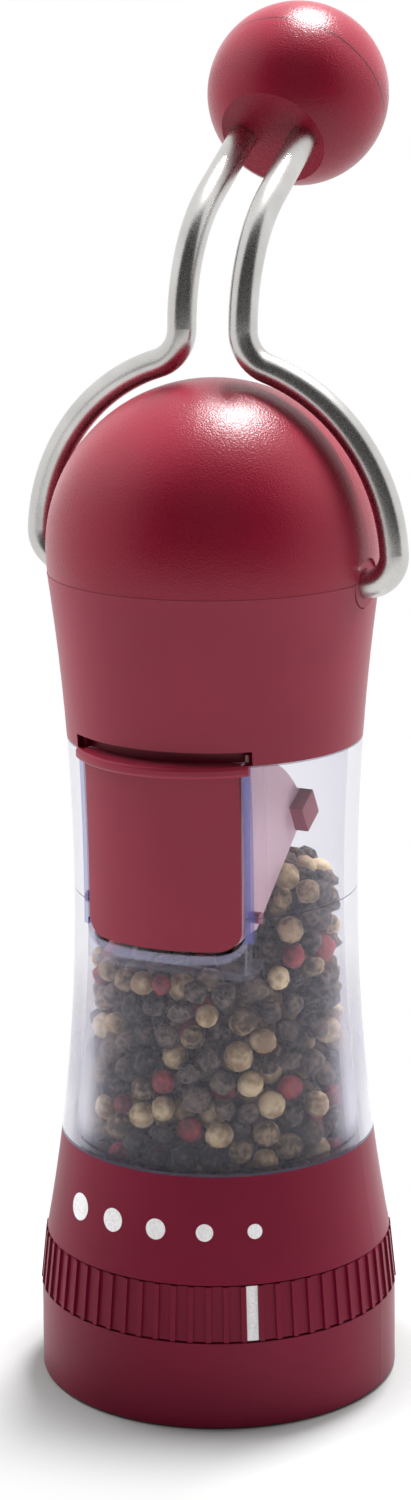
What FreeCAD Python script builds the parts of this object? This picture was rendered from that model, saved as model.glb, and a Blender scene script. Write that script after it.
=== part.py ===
"""Pepper mill with a rocking bail handle, a clear hopper and a tilt-out refill chute.

The mill stands on its foot with the centre of the foot at the origin and +Z up.
The refill chute faces -Y and the handle rocks about an axle along X. Lengths are millimetres.
"""
import FreeCAD
import Part
import math
import os
from types import SimpleNamespace

import Sketcher

Vector = FreeCAD.Vector
Rotation = FreeCAD.Rotation
Placement = FreeCAD.Placement

SIZES = {
    # Foot
    "base_radius": 32.0,
    "foot_height": 16.0,
    "foot_wall": 2.4,
    "foot_draft": 0.1,
    "foot_chamfer": 0.6,
    "foot_web": 2.5,
    "outlet_radius": 17.5,
    "outlet_recess": 7.5,
    "outlet_ledge": 2.5,
    # Adjuster ring
    "ring_gap": 0.3,
    "ring_height": 9.7,
    "ring_step": 0.3,
    "ring_wall": 2.6,
    "ring_web": 2.4,
    "ring_hub_wall": 4.2,
    "rib_height": 0.5,
    "rib_width": 0.9,
    "rib_count": 64,
    "rib_start": -56.3125,
    "adjuster_turn": 68.4,
    "stator_lift": 1.2,
    # Base housing
    "housing_height": 18.7,
    "housing_step": 1.2045,
    "housing_wall": 2.4,
    "sleeve_radius": 22.2,
    "sleeve_wall": 3.0,
    "funnel_depth": 6.0,
    "running_gap": 0.05,
    # Hopper
    "hopper_height": 72.0,
    "hopper_wall": 2.4,
    "waist_rise": 45.0,
    "waist_radius": 24.95,
    "tongue_depth": 1.6,
    "tongue_wall": 1.2,
    "flange_wall": 1.8,
    "flange_depth": 5.0,
    # Refill chute
    "door_width": 29.0,
    "door_gap": 0.5,
    "door_wall": 2.2,
    "door_drop": 5.3,
    "door_corner": 3.5,
    "hinge_rise": 44.7,
    "hinge_inset": 7.95,
    "hinge_pin": 2.0,
    "cheek_wall": 1.8,
    "cheek_angle": 60.0,
    "cheek_gap": 0.6,
    "lip_width": 32.6,
    "lip_thickness": 2.0,
    "lip_reach": 2.5,
    "lip_end": 1.0,
    "lip_round": 0.7,
    "lip_rise": 0.2,
    "peg_length": 5.2,
    "peg_width": 2.6,
    "lip_gap": 0.35,
    "cheek_lean": 2.8,
    "cheek_foot": 3.0,
    # Collar and dome
    "collar_height": 28.8,
    "collar_wall": 2.5,
    "deck_thickness": 3.0,
    "notch_height": 2.4,
    "collar_step": 0.083,
    "rebate_height": 1.8,
    "rebate_wall": 1.4,
    "dome_radius": 29.0,
    "dome_wall": 2.5,
    "dome_lift": 3.95,
    "post_radius": 3.2,
    "post_across": 8.0,
    "seat_wall": 0.3,
    "screw_diameter": 3.0,
    "screw_head": 5.6,
    "screw_head_height": 2.0,
    "screw_bite": 12.0,
    # Handle
    "wire_diameter": 5.0,
    "pivot_drop": 0.3,
    "bush_radius": 4.2,
    "bush_gap": 0.15,
    "bush_flange": 1.4,
    "bush_flange_radius": 5.5,
    "arch_gap": 2.2,
    "arch_lift": 3.3,
    "heel_bend": 5.0,
    "shoulder_bend": 6.5,
    "leg_spacing": 11.5,
    "neck_bend": 26.5,
    "neck_turn": 56.4,
    "neck_reach": 28.3,
    "ball_radius": 16.0,
    "ball_wall": 2.5,
    "facet_radius": 9.5,
    "socket_wall": 1.7,
    "spigot_depth": 1.8,
    "hub_radius": 4.5,
    "hub_end_gap": 0.5,
    "hub_grip": 12.0,
    "pin_diameter": 2.0,
    # Bevel gears
    "gear_module": 1.15,
    "gear_teeth": 36,
    "pinion_teeth": 12,
    "tooth_face": 6.0,
    "tooth_shift": 0.35,
    "tooth_slack": 0.12,
    "tooth_root": 1.25,
    "tooth_sink": 0.4,
    "gear_rim": 2.2,
    "gear_boss": 7.5,
    "pinion_pin": 1.5,
    # Drive shaft and burrs
    "shaft_diameter": 6.0,
    "square_width": 4.2,
    "thread_diameter": 4.0,
    "shaft_bush_wall": 1.2,
    "spider_height": 4.0,
    "spider_rim": 1.7,
    "spoke_width": 2.6,
    "rotor_low_radius": 14.4,
    "rotor_high_radius": 8.0,
    "rotor_height": 14.0,
    "rotor_clearance": 3.5,
    "burr_gap": 0.5,
    "burr_tooth": 1.4,
    "burr_rake": 0.35,
    "rotor_teeth": 12,
    "rotor_twist": 20.0,
    "stator_teeth": 18,
    "stator_twist": -12.0,
    "stator_radius": 17.0,
    "stator_height": 12.0,
    "stator_high_radius": 12.4,
    "carrier_lip": 2.0,
    "lift_pin": 2.6,
    "lift_rise": 7.2,
    "groove_depth": 2.5,
    "groove_gap": 0.15,
    "washer_height": 1.2,
    "washer_radius": 5.0,
    "nut_height": 3.2,
    "nut_width": 7.0,
    "foot_screw": 2.0,
    "foot_screw_head": 3.6,
    "screw_turn": 30.0,
    "foot_screw_length": 9.0,
}


class Length:
    """A size together with the sheet formula that it is worked out from."""

    def __init__(self, value, formula):
        self.value = float(value)
        self.formula = formula

    def __add__(self, other):
        other = length(other)
        return Length(self.value + other.value, f"({self.formula} + {other.formula})")

    def __sub__(self, other):
        other = length(other)
        return Length(self.value - other.value, f"({self.formula} - {other.formula})")

    def __mul__(self, other):
        other = length(other)
        return Length(self.value * other.value, f"({self.formula} * {other.formula})")

    def __truediv__(self, other):
        other = length(other)
        return Length(self.value / other.value, f"({self.formula} / {other.formula})")

    def __radd__(self, other):
        return length(other) + self

    def __rsub__(self, other):
        return length(other) - self

    def __rmul__(self, other):
        return length(other) * self

    def __neg__(self):
        return Length(-self.value, f"(0 - {self.formula})")


def length(number):
    return number if isinstance(number, Length) else Length(number, repr(float(number)))


def root(square):
    return Length(math.sqrt(square.value), f"sqrt({square.formula})")


def sine(angle):
    return Length(math.sin(math.radians(angle.value)), f"sin({angle.formula})")


def cosine(angle):
    return Length(math.cos(math.radians(angle.value)), f"cos({angle.formula})")


doc = FreeCAD.newDocument("PepperMill")
sheet = doc.addObject("Spreadsheet::Sheet", "Sizes")
for row, (alias, number) in enumerate(SIZES.items(), start=1):
    sheet.set(f"A{row}", alias)
    sheet.set(f"B{row}", str(number))
    sheet.setAlias(f"B{row}", alias)
doc.recompute()
s = SimpleNamespace(**{alias: Length(sheet.get(alias), f"Sizes.{alias}") for alias in SIZES})

nodes = []


def worked_out(alias, value):
    """Writes a size that follows from others into the sheet, under a name of its own."""
    row = len(sheet.getUsedCells()) // 2 + 1
    sheet.set(f"A{row}", alias)
    sheet.set(f"B{row}", "=" + value.formula.replace("Sizes.", ""))
    sheet.setAlias(f"B{row}", alias)
    sheet.recompute()
    return Length(sheet.get(alias), f"Sizes.{alias}")


def node(label, piece):
    """Names a finished sub-part; the name is also its file's."""
    piece.Label = label
    nodes.append(piece)
    return piece


def bind(piece, **sizes):
    for name, value in sizes.items():
        piece.setExpression(name, length(value).formula)


ALONG = {
    "X": Rotation(Vector(0, 1, 0), 90),
    "Y": Rotation(Vector(1, 0, 0), -90),
    "Z": Rotation(),
}


def place(piece, at, turn=Rotation()):
    piece.Placement = Placement(Vector(*(length(value).value for value in at)), turn)
    for axis, value in zip("xyz", at):
        piece.setExpression(f"Placement.Base.{axis}", length(value).formula)


def cylinder(name, radius, height, at=(0, 0, 0), along="Z"):
    rod = doc.addObject("Part::Cylinder", name)
    bind(rod, Radius=radius, Height=height)
    place(rod, at, ALONG[along])
    return rod


def block(name, size, at, turn=0):
    """A box centred across X and Y on its place, standing on it, turned about its place's Z."""
    box = doc.addObject("Part::Box", name)
    bind(box, Length=size[0], Width=size[1], Height=size[2])
    angle = math.radians(turn)
    half_x, half_y = length(size[0]) / 2, length(size[1]) / 2
    corner_x = at[0] - half_x * math.cos(angle) + half_y * math.sin(angle)
    corner_y = at[1] - half_x * math.sin(angle) - half_y * math.cos(angle)
    place(box, (corner_x, corner_y, at[2]), Rotation(Vector(0, 0, 1), turn))
    return box


def joined(name, *pieces):
    fusion = doc.addObject("Part::MultiFuse", name)
    fusion.Shapes = list(pieces)
    fusion.Refine = True
    return fusion


def shared(name, *pieces):
    common = doc.addObject("Part::MultiCommon", name)
    common.Shapes = list(pieces)
    return common


def cut(name, base, *tools):
    difference = doc.addObject("Part::Cut", name)
    difference.Base = base
    difference.Tool = tools[0] if len(tools) == 1 else joined(f"{name}_tools", *tools)
    return difference


def group(name, *pieces):
    compound = doc.addObject("Part::Compound", name)
    compound.Links = list(pieces)
    return compound


def solid(name, shape):
    """A piece whose form no ready-made feature gives."""
    feature = doc.addObject("Part::Feature", name)
    feature.Shape = shape
    return feature


def arc_between(start, end, radius, side):
    """The short arc of a radius from start to end, anticlockwise where side is +1."""
    chord = end - start
    rise = math.sqrt(max(radius ** 2 - chord.Length ** 2 / 4, 0.0))
    left = Vector(-chord.y, chord.x, 0).normalize()
    centre = (start + end) * 0.5 + left * (rise * side)
    first, last = (start, end) if side > 0 else (end, start)
    angles = [math.atan2(p.y - centre.y, p.x - centre.x) for p in (first, last)]
    return Part.ArcOfCircle(Part.Circle(centre, Vector(0, 0, 1), radius), *angles)


def outline(body, role, corners):
    """Draws a closed outline on one of the body's planes, with every corner tied to the sheet.

    A corner is (across, up), or (across, up, radius, side) where an arc leaves it.
    """
    sketch = body.newObject("Sketcher::SketchObject", f"{body.Name}_outline")
    plane = [feature for feature in body.Origin.OriginFeatures if feature.Role == role][0]
    sketch.AttachmentSupport = (plane, [""])
    sketch.MapMode = "FlatFace"
    spots = [Vector(length(c[0]).value, length(c[1]).value, 0) for c in corners]
    ends = []
    for index, corner in enumerate(corners):
        start, end = spots[index], spots[(index + 1) % len(spots)]
        if len(corner) == 2:
            sketch.addGeometry(Part.LineSegment(start, end))
            ends.append((1, 2))
        else:
            sketch.addGeometry(arc_between(start, end, length(corner[2]).value, corner[3]))
            ends.append((1, 2) if corner[3] > 0 else (2, 1))
    bound = []
    for index, corner in enumerate(corners):
        following = (index + 1) % len(corners)
        first, last = ends[index]
        sketch.addConstraint(Sketcher.Constraint("Coincident", index, last, following, ends[following][0]))
        for kind, axis, value in (("DistanceX", -2, corner[0]), ("DistanceY", -1, corner[1])):
            if isinstance(value, Length):
                rule = Sketcher.Constraint(kind, -1, 1, index, first, value.value)
                bound.append((sketch.addConstraint(rule), value))
            else:
                sketch.addConstraint(Sketcher.Constraint("PointOnObject", index, first, axis))
        if len(corner) > 2:
            rule = Sketcher.Constraint("Radius", index, length(corner[2]).value)
            bound.append((sketch.addConstraint(rule), length(corner[2])))
    for index, value in bound:
        sketch.setExpression(f"Constraints[{index}]", value.formula)
    return sketch


def turned(name, corners):
    """A piece turned about its own Z from an outline of (radius, height) corners."""
    body = doc.addObject("PartDesign::Body", name)
    sketch = outline(body, "XZ_Plane", corners)
    spin = body.newObject("PartDesign::Revolution", f"{name}_turn")
    spin.Profile = sketch
    spin.ReferenceAxis = (sketch, ["V_Axis"])
    spin.Angle = 360
    sketch.Visibility = False
    body.Tip = spin
    return body


def padded(name, role, corners, thickness, both_ways=False):
    body = doc.addObject("PartDesign::Body", name)
    sketch = outline(body, role, corners)
    pad = body.newObject("PartDesign::Pad", f"{name}_pad")
    pad.Profile = sketch
    bind(pad, Length=thickness)
    pad.Midplane = both_ways
    body.Tip = pad
    return body


# Heights of the stacked casings
ring_bottom = s.foot_height + s.ring_gap
ring_top = ring_bottom + s.ring_height
housing_bottom = ring_top + s.ring_gap
hopper_bottom = housing_bottom + s.housing_height
waist = hopper_bottom + s.waist_rise
hopper_top = hopper_bottom + s.hopper_height
seam = hopper_top + s.collar_height
deck_top = hopper_top + s.deck_thickness
dome_centre = seam + s.dome_lift
pivot = seam - s.pivot_drop
sleeve_bottom = s.outlet_recess + s.outlet_ledge
sleeve_bore = s.sleeve_radius - s.sleeve_wall
hinge = hopper_bottom + s.hinge_rise
hinge_back = s.waist_radius - s.hinge_inset
dome_seat = root(s.dome_radius * s.dome_radius - s.dome_lift * s.dome_lift)


def bend_to(radius, rise):
    """Radius of the arc that leaves the waist upright and reaches a radius so far from it."""
    swell = radius - s.waist_radius
    return (swell * swell + rise * rise) / (swell * 2)


lower_flare = worked_out("lower_flare", bend_to(s.base_radius - s.housing_step, waist - housing_bottom))
upper_flare = worked_out("upper_flare", bend_to(dome_seat + s.collar_step, seam - waist))


def flare(height, inset=0.0):
    """Radius of the hourglass casing at a height, or of a surface set in from it."""
    bend = lower_flare if height.value < waist.value else upper_flare
    reach = bend + inset
    drop = height - waist
    return s.waist_radius + bend - root(reach * reach - drop * drop)


def foot():
    top = s.base_radius - s.foot_draft
    tube = s.sleeve_radius + s.running_gap
    body = turned("foot", [
        (s.base_radius - s.foot_wall, 0),
        (s.base_radius - s.foot_chamfer, 0),
        (s.base_radius, s.foot_chamfer),
        (top, s.foot_height),
        (tube, s.foot_height),
        (tube, sleeve_bottom),
        (s.outlet_radius, sleeve_bottom),
        (s.outlet_radius, s.outlet_recess),
        (tube + s.foot_wall, s.outlet_recess),
        (tube + s.foot_wall, s.foot_height - s.foot_web),
        (top - s.foot_wall, s.foot_height - s.foot_web),
    ])
    holes = [cylinder(f"foot_hole_{i}", s.foot_screw / 2, s.outlet_ledge, (x, y, s.outlet_recess))
             for i, (x, y) in enumerate(screw_circle())]
    return node("base_foot", cut("foot_drilled", body, *holes))


def around(radius, count, first):
    """Places spaced evenly round the mill's axis."""
    angles = [math.radians(first + 360 / count * step) for step in range(count)]
    return [(radius * math.cos(angle), radius * math.sin(angle)) for angle in angles]


def screw_circle():
    return around(s.sleeve_radius - s.sleeve_wall / 2, 3, s.screw_turn.value)


def foot_screws():
    screws = []
    for i, (x, y) in enumerate(screw_circle()):
        shank = cylinder(f"foot_shank_{i}", s.foot_screw / 2, s.foot_screw_length, (x, y, s.outlet_recess))
        cap = cylinder(f"foot_cap_{i}", s.foot_screw_head / 2, s.foot_screw,
                       (x, y, s.outlet_recess - s.foot_screw))
        screws.append(joined(f"foot_screw_{i}", shank, cap))
    return node("foot_screws", group("foot_screw_set", *screws))


lift_angles = (90.0, 210.0, 330.0)
lift_height = sleeve_bottom + s.rotor_clearance + s.lift_rise


def base_housing():
    rim = flare(hopper_bottom, s.hopper_wall - s.tongue_wall)
    shelf = flare(hopper_bottom, s.hopper_wall)
    throat = hopper_bottom - s.tongue_depth - s.funnel_depth
    skin = lower_flare + s.housing_wall
    joint = hopper_bottom - s.tongue_depth - s.housing_wall
    body = turned("housing", [
        (flare(housing_bottom), housing_bottom, lower_flare, -1),
        (flare(hopper_bottom), hopper_bottom),
        (rim, hopper_bottom),
        (rim, hopper_bottom - s.tongue_depth),
        (shelf, hopper_bottom - s.tongue_depth),
        (sleeve_bore, throat),
        (sleeve_bore, sleeve_bottom),
        (s.sleeve_radius, sleeve_bottom),
        (s.sleeve_radius, throat - s.housing_wall),
        (flare(joint, s.housing_wall), joint, skin, 1),
        (flare(housing_bottom, s.housing_wall), housing_bottom),
    ])
    width = s.lift_pin + s.groove_gap * 2
    reach = s.sleeve_wall * 2
    tools = []
    for i, angle in enumerate(lift_angles):
        middle = s.sleeve_radius - s.sleeve_wall / 2
        at = (middle * math.cos(math.radians(angle)), middle * math.sin(math.radians(angle)),
              lift_height - width / 2)
        tools.append(block(f"lift_slot_{i}", (reach, width, width + s.stator_lift), at, angle))
    for i, (x, y) in enumerate(screw_circle()):
        depth = s.foot_screw_length - s.outlet_ledge
        tools.append(cylinder(f"sleeve_pilot_{i}", s.foot_screw / 2, depth, (x, y, sleeve_bottom)))
    return node("base_housing", cut("housing_slotted", body, *tools))


def adjuster_ring():
    bore = s.sleeve_radius + s.running_gap
    hub = bore + s.ring_hub_wall
    web = (ring_bottom + ring_top) / 2 - s.ring_web / 2
    low = s.base_radius - s.foot_draft - s.ring_step
    high = flare(ring_top) - s.ring_step
    body = turned("ring", [
        (bore, ring_bottom),
        (hub, ring_bottom),
        (hub, web),
        (low - s.ring_wall, web),
        (low - s.ring_wall, ring_bottom),
        (low, ring_bottom),
        (high, ring_top),
        (high - s.ring_wall, ring_top),
        (high - s.ring_wall, web + s.ring_web),
        (hub, web + s.ring_web),
        (hub, ring_top),
        (bore, ring_top),
    ])
    doc.recompute()
    sink = s.ring_wall / 2
    sketch = outline(body, "XZ_Plane", [
        (low - sink, ring_bottom),
        (low + s.rib_height, ring_bottom),
        (high + s.rib_height, ring_top),
        (high - sink, ring_top),
    ])
    rib = body.newObject("PartDesign::Pad", "rib")
    rib.Profile = sketch
    rib.Midplane = True
    bind(rib, Length=s.rib_width)
    body.Tip = rib
    doc.recompute()
    ribs = body.newObject("PartDesign::PolarPattern", "ribs")
    ribs.Originals = [rib]
    ribs.Axis = ([f for f in body.Origin.OriginFeatures if f.Role == "Z_Axis"][0], [""])
    ribs.Angle = 360
    bind(ribs, Occurrences=s.rib_count)
    body.Tip = ribs
    body.Placement = Placement(Vector(), Rotation(Vector(0, 0, 1), s.rib_start.value))
    body.setExpression("Placement.Rotation.Angle", s.rib_start.formula)
    grooves = [lift_groove(f"lift_groove_{i}", angle) for i, angle in enumerate(lift_angles)]
    return node("adjuster_ring", cut("ring_grooved", body, *grooves))


def lift_groove(name, angle):
    """Helical slot in the ring's bore: a turn of the ring raises the pin that runs in it."""
    inner = (s.sleeve_radius - s.sleeve_wall / 2).value
    outer = (s.sleeve_radius + s.running_gap + s.groove_depth).value
    half = (s.lift_pin / 2 + s.groove_gap).value
    margin = math.degrees(half / s.sleeve_radius.value)
    pitch = s.stator_lift.value * 360 / s.adjuster_turn.value
    sweep = s.adjuster_turn.value + 2 * margin
    helix = Part.makeHelix(pitch, pitch * sweep / 360, outer)
    section = Part.makePolygon([
        Vector(inner, 0, -half), Vector(outer, 0, -half), Vector(outer, 0, half), Vector(inner, 0, half),
        Vector(inner, 0, -half),
    ])
    slot = Part.Wire(helix).makePipeShell([section], True, True)
    start = lift_height.value - pitch * margin / 360
    feature = solid(name, slot)
    feature.Placement = Placement(Vector(0, 0, start), Rotation(Vector(0, 0, 1), angle - margin))
    return feature


def clear_hopper():
    tongue_low = flare(hopper_bottom, s.hopper_wall - s.tongue_wall) - s.running_gap
    tongue_high = flare(hopper_top, s.hopper_wall - s.tongue_wall) - s.running_gap
    skin_low = lower_flare + s.hopper_wall
    skin_high = upper_flare + s.hopper_wall
    shell = turned("hopper_shell", [
        (flare(hopper_bottom, s.hopper_wall), hopper_bottom - s.tongue_depth),
        (tongue_low, hopper_bottom - s.tongue_depth),
        (tongue_low, hopper_bottom),
        (flare(hopper_bottom), hopper_bottom, lower_flare, -1),
        (s.waist_radius, waist, upper_flare, -1),
        (flare(hopper_top), hopper_top),
        (tongue_high, hopper_top),
        (tongue_high, hopper_top + s.tongue_depth),
        (flare(hopper_top, s.hopper_wall), hopper_top + s.tongue_depth),
        (flare(hopper_top, s.hopper_wall), hopper_top, skin_high, 1),
        (s.waist_radius - s.hopper_wall, waist, skin_low, 1),
        (flare(hopper_bottom, s.hopper_wall), hopper_bottom),
    ])
    filled = turned("hopper_filled", [
        (0, hopper_bottom),
        (flare(hopper_bottom), hopper_bottom, lower_flare, -1),
        (s.waist_radius, waist, upper_flare, -1),
        (flare(hopper_top), hopper_top),
        (0, hopper_top),
    ])
    opening = s.door_width / 2 + s.door_gap
    sill = hinge - s.door_drop
    corner = root(s.waist_radius * s.waist_radius - opening * opening)
    back = s.flange_depth - corner
    frame_width = (opening + s.flange_wall) * 2
    frame = block("flange_block", (frame_width, s.waist_radius * 2, hopper_top - sill),
                  (0, back - s.waist_radius, sill))
    shell_framed = joined("hopper_framed", shell, shared("flanges", frame, filled))
    doorway = block("doorway", (opening * 2, s.base_radius, s.hopper_height),
                    (0, -(s.base_radius / 2), hinge))
    swing = root(s.hinge_inset * s.hinge_inset + s.door_drop * s.door_drop)
    sweep = cylinder("door_sweep", swing + s.door_gap, opening * 2, (-opening, -hinge_back, hinge), "X")
    holes = cylinder("hinge_holes", s.hinge_pin / 2 + s.running_gap, frame_width,
                     (-(frame_width / 2), -hinge_back, hinge), "X")
    return node("clear_hopper", cut("hopper_open", shell_framed, doorway, sweep, holes))


def refill_door():
    half = s.door_width / 2
    sill = hinge - s.door_drop
    top = hopper_top + s.lip_rise
    reach = hopper_top - s.cheek_gap - hinge
    skin_low = lower_flare + s.door_wall
    skin_high = upper_flare + s.door_wall
    ring = turned("door_ring", [
        (flare(sill, s.door_wall), sill),
        (flare(sill), sill, lower_flare, -1),
        (s.waist_radius, waist, upper_flare, -1),
        (flare(top), top),
        (flare(top, s.door_wall), top, skin_high, 1),
        (s.waist_radius - s.door_wall, waist, skin_low, 1),
    ])
    face = padded("door_face", "XZ_Plane", [
        (half, top),
        (-half, top),
        (-half, sill + s.door_corner, s.door_corner, 1),
        (s.door_corner - half, sill),
        (half - s.door_corner, sill, s.door_corner, 1),
        (half, sill + s.door_corner),
    ], s.base_radius)
    panel = shared("door_panel", ring, face)
    lip_bottom = top - s.lip_thickness
    crest = flare(top) + s.lip_reach
    half_lip = s.lip_width / 2
    swell = crest - s.lip_end - root(flare(top) * flare(top) - half_lip * half_lip)
    bow = (half_lip * half_lip + swell * swell) / (swell * 2)
    disc = turned("lip_disc", [
        (0, lip_bottom),
        (bow - s.lip_round, lip_bottom, s.lip_round, 1),
        (bow, lip_bottom + s.lip_round),
        (bow, top - s.lip_round, s.lip_round, 1),
        (bow - s.lip_round, top),
        (0, top),
    ])
    place(disc, (0, bow - crest, 0))
    pulls = []
    for name, inner, width in (("lip_root", flare(top, s.door_wall), s.door_width),
                               ("lip_wide", flare(top) + s.lip_gap, s.lip_width)):
        band = turned(f"{name}_ring", [
            (inner, lip_bottom), (crest, lip_bottom), (crest, top), (inner, top)])
        front = block(f"{name}_front", (width, s.base_radius, s.lip_thickness),
                      (0, -(s.base_radius / 2), lip_bottom))
        pulls.append(shared(name, band, front, disc))
    back_y = reach * sine(s.cheek_angle)
    back_z = reach * cosine(s.cheek_angle)
    lean = s.cheek_lean
    cheeks = padded("door_cheeks", "YZ_Plane", [
        (-(hinge_back + lean), hinge - s.cheek_foot),
        (-(hinge_back + lean), hinge + root(reach * reach - lean * lean), reach, -1),
        (back_y - hinge_back, hinge + back_z),
        (s.cheek_foot - hinge_back, hinge - s.cheek_foot),
    ], s.door_width, True)
    in_y, in_z = s.peg_length * sine(s.cheek_angle), s.peg_length * cosine(s.cheek_angle)
    pegs = padded("door_pegs", "YZ_Plane", [
        (back_y - hinge_back, hinge + back_z),
        (back_y - in_y - hinge_back, hinge + back_z - in_z),
        (back_y - in_y - in_z - hinge_back, hinge + back_z - in_z + in_y),
        (back_y - in_z - hinge_back, hinge + back_z + in_y),
    ], s.door_width + s.peg_width * 2, True)
    pin_length = s.door_width + (s.door_gap + s.flange_wall) * 2 - s.lip_gap
    pins = cylinder("door_pins", s.hinge_pin / 2, pin_length, (-(pin_length / 2), -hinge_back, hinge), "X")
    between = block("door_inside", (s.door_width - s.cheek_wall * 2, s.base_radius * 2, s.hopper_height),
                    (0, 0, hopper_bottom + s.door_corner))
    sides = cut("door_sides", joined("door_sides_whole", cheeks, pegs, pins), between)
    return node("refill_door", joined("door_whole", panel, *pulls, sides))


# The pivot: bushes held between the collar and the dome
wall_inside = root((s.dome_radius - s.dome_wall) * (s.dome_radius - s.dome_wall) - s.dome_lift * s.dome_lift)
bush_seat = root(wall_inside * wall_inside - s.bush_flange_radius * s.bush_flange_radius)
hub_half = bush_seat - s.bush_flange - s.hub_end_gap
plug = flare(hopper_top, s.hopper_wall) - s.running_gap
post_reach = plug - s.screw_head / 2 - s.seat_wall
post_back = worked_out("post_back", root(post_reach * post_reach - s.post_across * s.post_across))
posts = [(-s.post_across, post_back), (-s.post_across, -post_back)]


def pivot_tools(name):
    """The bush holes through both walls and the pocket for the bush flanges inside."""
    through = s.dome_radius * 2
    hole = cylinder(f"{name}_bush_hole", s.bush_radius + s.bush_gap, through, (-s.dome_radius, 0, pivot), "X")
    pocket = cylinder(f"{name}_bush_pocket", s.bush_flange_radius + s.bush_gap, bush_seat * 2,
                      (-bush_seat, 0, pivot), "X")
    return hole, pocket


def upper_collar():
    rim = flare(hopper_top, s.hopper_wall - s.tongue_wall)
    rebate = wall_inside - s.running_gap * 2
    bush = s.shaft_diameter / 2 + s.running_gap + s.shaft_bush_wall
    body = turned("collar", [
        (bush, hopper_top),
        (plug, hopper_top),
        (plug, hopper_top + s.tongue_depth),
        (rim, hopper_top + s.tongue_depth),
        (rim, hopper_top),
        (flare(hopper_top), hopper_top, upper_flare, -1),
        (flare(seam), seam),
        (rebate, seam),
        (rebate, seam + s.rebate_height),
        (rebate - s.rebate_wall, seam + s.rebate_height),
        (rebate - s.rebate_wall, seam - s.rebate_height),
        (flare(seam - s.rebate_height * 2, s.collar_wall), seam - s.rebate_height * 2,
         upper_flare + s.collar_wall, 1),
        (flare(deck_top, s.collar_wall), deck_top),
        (bush, deck_top),
    ])
    post_bottom = hopper_top + s.tongue_depth
    stands = [cylinder(f"post_{i}", s.post_radius, seam - post_bottom, (x, y, post_bottom))
              for i, (x, y) in enumerate(posts)]
    tools = list(pivot_tools("collar"))
    for i, (x, y) in enumerate(posts):
        tools.append(cylinder(f"post_bore_{i}", s.screw_diameter / 2, s.collar_height, (x, y, hopper_top)))
        tools.append(cylinder(f"post_seat_{i}", s.screw_head / 2, s.screw_head_height, (x, y, hopper_top)))
    notch_width = s.lip_width + s.door_gap
    slab = block("notch_slab", (notch_width, s.base_radius, s.notch_height),
                 (0, -(s.base_radius / 2), hopper_top))
    tools.append(cut("finger_notch", slab, cylinder("notch_core", plug, s.notch_height, (0, 0, hopper_top))))
    return node("upper_collar", cut("collar_bored", joined("collar_posted", body, *stands), *tools))


def dome_cover():
    inner = s.dome_radius - s.dome_wall
    body = turned("dome", [
        (wall_inside, seam),
        (dome_seat, seam, s.dome_radius, 1),
        (0, dome_centre + s.dome_radius),
        (0, dome_centre + inner, inner, -1),
    ])
    ball = doc.addObject("Part::Sphere", "dome_ball")
    bind(ball, Radius=s.dome_radius - s.dome_wall / 2)
    place(ball, (0, 0, dome_centre))
    pillars = group("dome_pillars", *[
        cylinder(f"pillar_{i}", s.post_radius, s.dome_radius, (x, y, seam))
        for i, (x, y) in enumerate(posts)])
    tools = list(pivot_tools("dome"))
    for i, (x, y) in enumerate(posts):
        tools.append(cylinder(f"dome_pilot_{i}", s.screw_diameter / 2, s.screw_bite, (x, y, seam)))
    whole = joined("dome_posted", body, shared("dome_bosses", pillars, ball))
    return node("dome_cover", cut("dome_bored", whole, *tools))


def dome_screws():
    screws = []
    for i, (x, y) in enumerate(posts):
        head = cylinder(f"dome_head_{i}", s.screw_head / 2, s.screw_head_height, (x, y, hopper_top))
        grip = s.collar_height + s.screw_bite - s.screw_head_height
        shank = cylinder(f"dome_shank_{i}", s.screw_diameter / 2, grip,
                         (x, y, hopper_top + s.screw_head_height))
        screws.append(joined(f"dome_screw_{i}", head, shank))
    return node("dome_screws", group("dome_screw_set", *screws))


def pivot_bush(label, side):
    bore = s.wire_diameter / 2 + s.running_gap
    outside = heel_out - s.hub_end_gap / 2
    body = turned(f"{label}_blank", [
        (bore, bush_seat - s.bush_flange),
        (s.bush_flange_radius, bush_seat - s.bush_flange),
        (s.bush_flange_radius, bush_seat),
        (s.bush_radius, bush_seat),
        (s.bush_radius, outside),
        (bore, outside),
    ])
    place(body, (0, 0, pivot), Rotation(Vector(0, 1, 0), 90 * side))
    return node(label, body)


# The handle's right-hand wire, from the hub to the ball
arch_height = pivot + s.arch_lift
arch_radius = s.dome_radius + s.arch_gap + s.wire_diameter / 2
heel_out = root((arch_radius - s.heel_bend) * (arch_radius - s.heel_bend)
                - (s.heel_bend - s.arch_lift) * (s.heel_bend - s.arch_lift))
leg = s.leg_spacing / 2
shoulder_rise = root((arch_radius + s.shoulder_bend) * (arch_radius + s.shoulder_bend)
                     - (leg + s.shoulder_bend) * (leg + s.shoulder_bend))
neck_start = arch_height + shoulder_rise
neck_end = (s.neck_bend * (1 - cosine(s.neck_turn)), neck_start + s.neck_bend * sine(s.neck_turn))
ball_centre = (neck_end[0] + s.neck_reach * sine(s.neck_turn),
               neck_end[1] + s.neck_reach * cosine(s.neck_turn))
wire_end_gap = s.spigot_depth + s.running_gap


def on_arc(centre, radius, start, end):
    """An edge from start to end round a centre, the short way."""
    middle = (start + end) * 0.5 - centre
    return Part.Arc(start, centre + middle * (radius / middle.Length), end).toShape()


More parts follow.
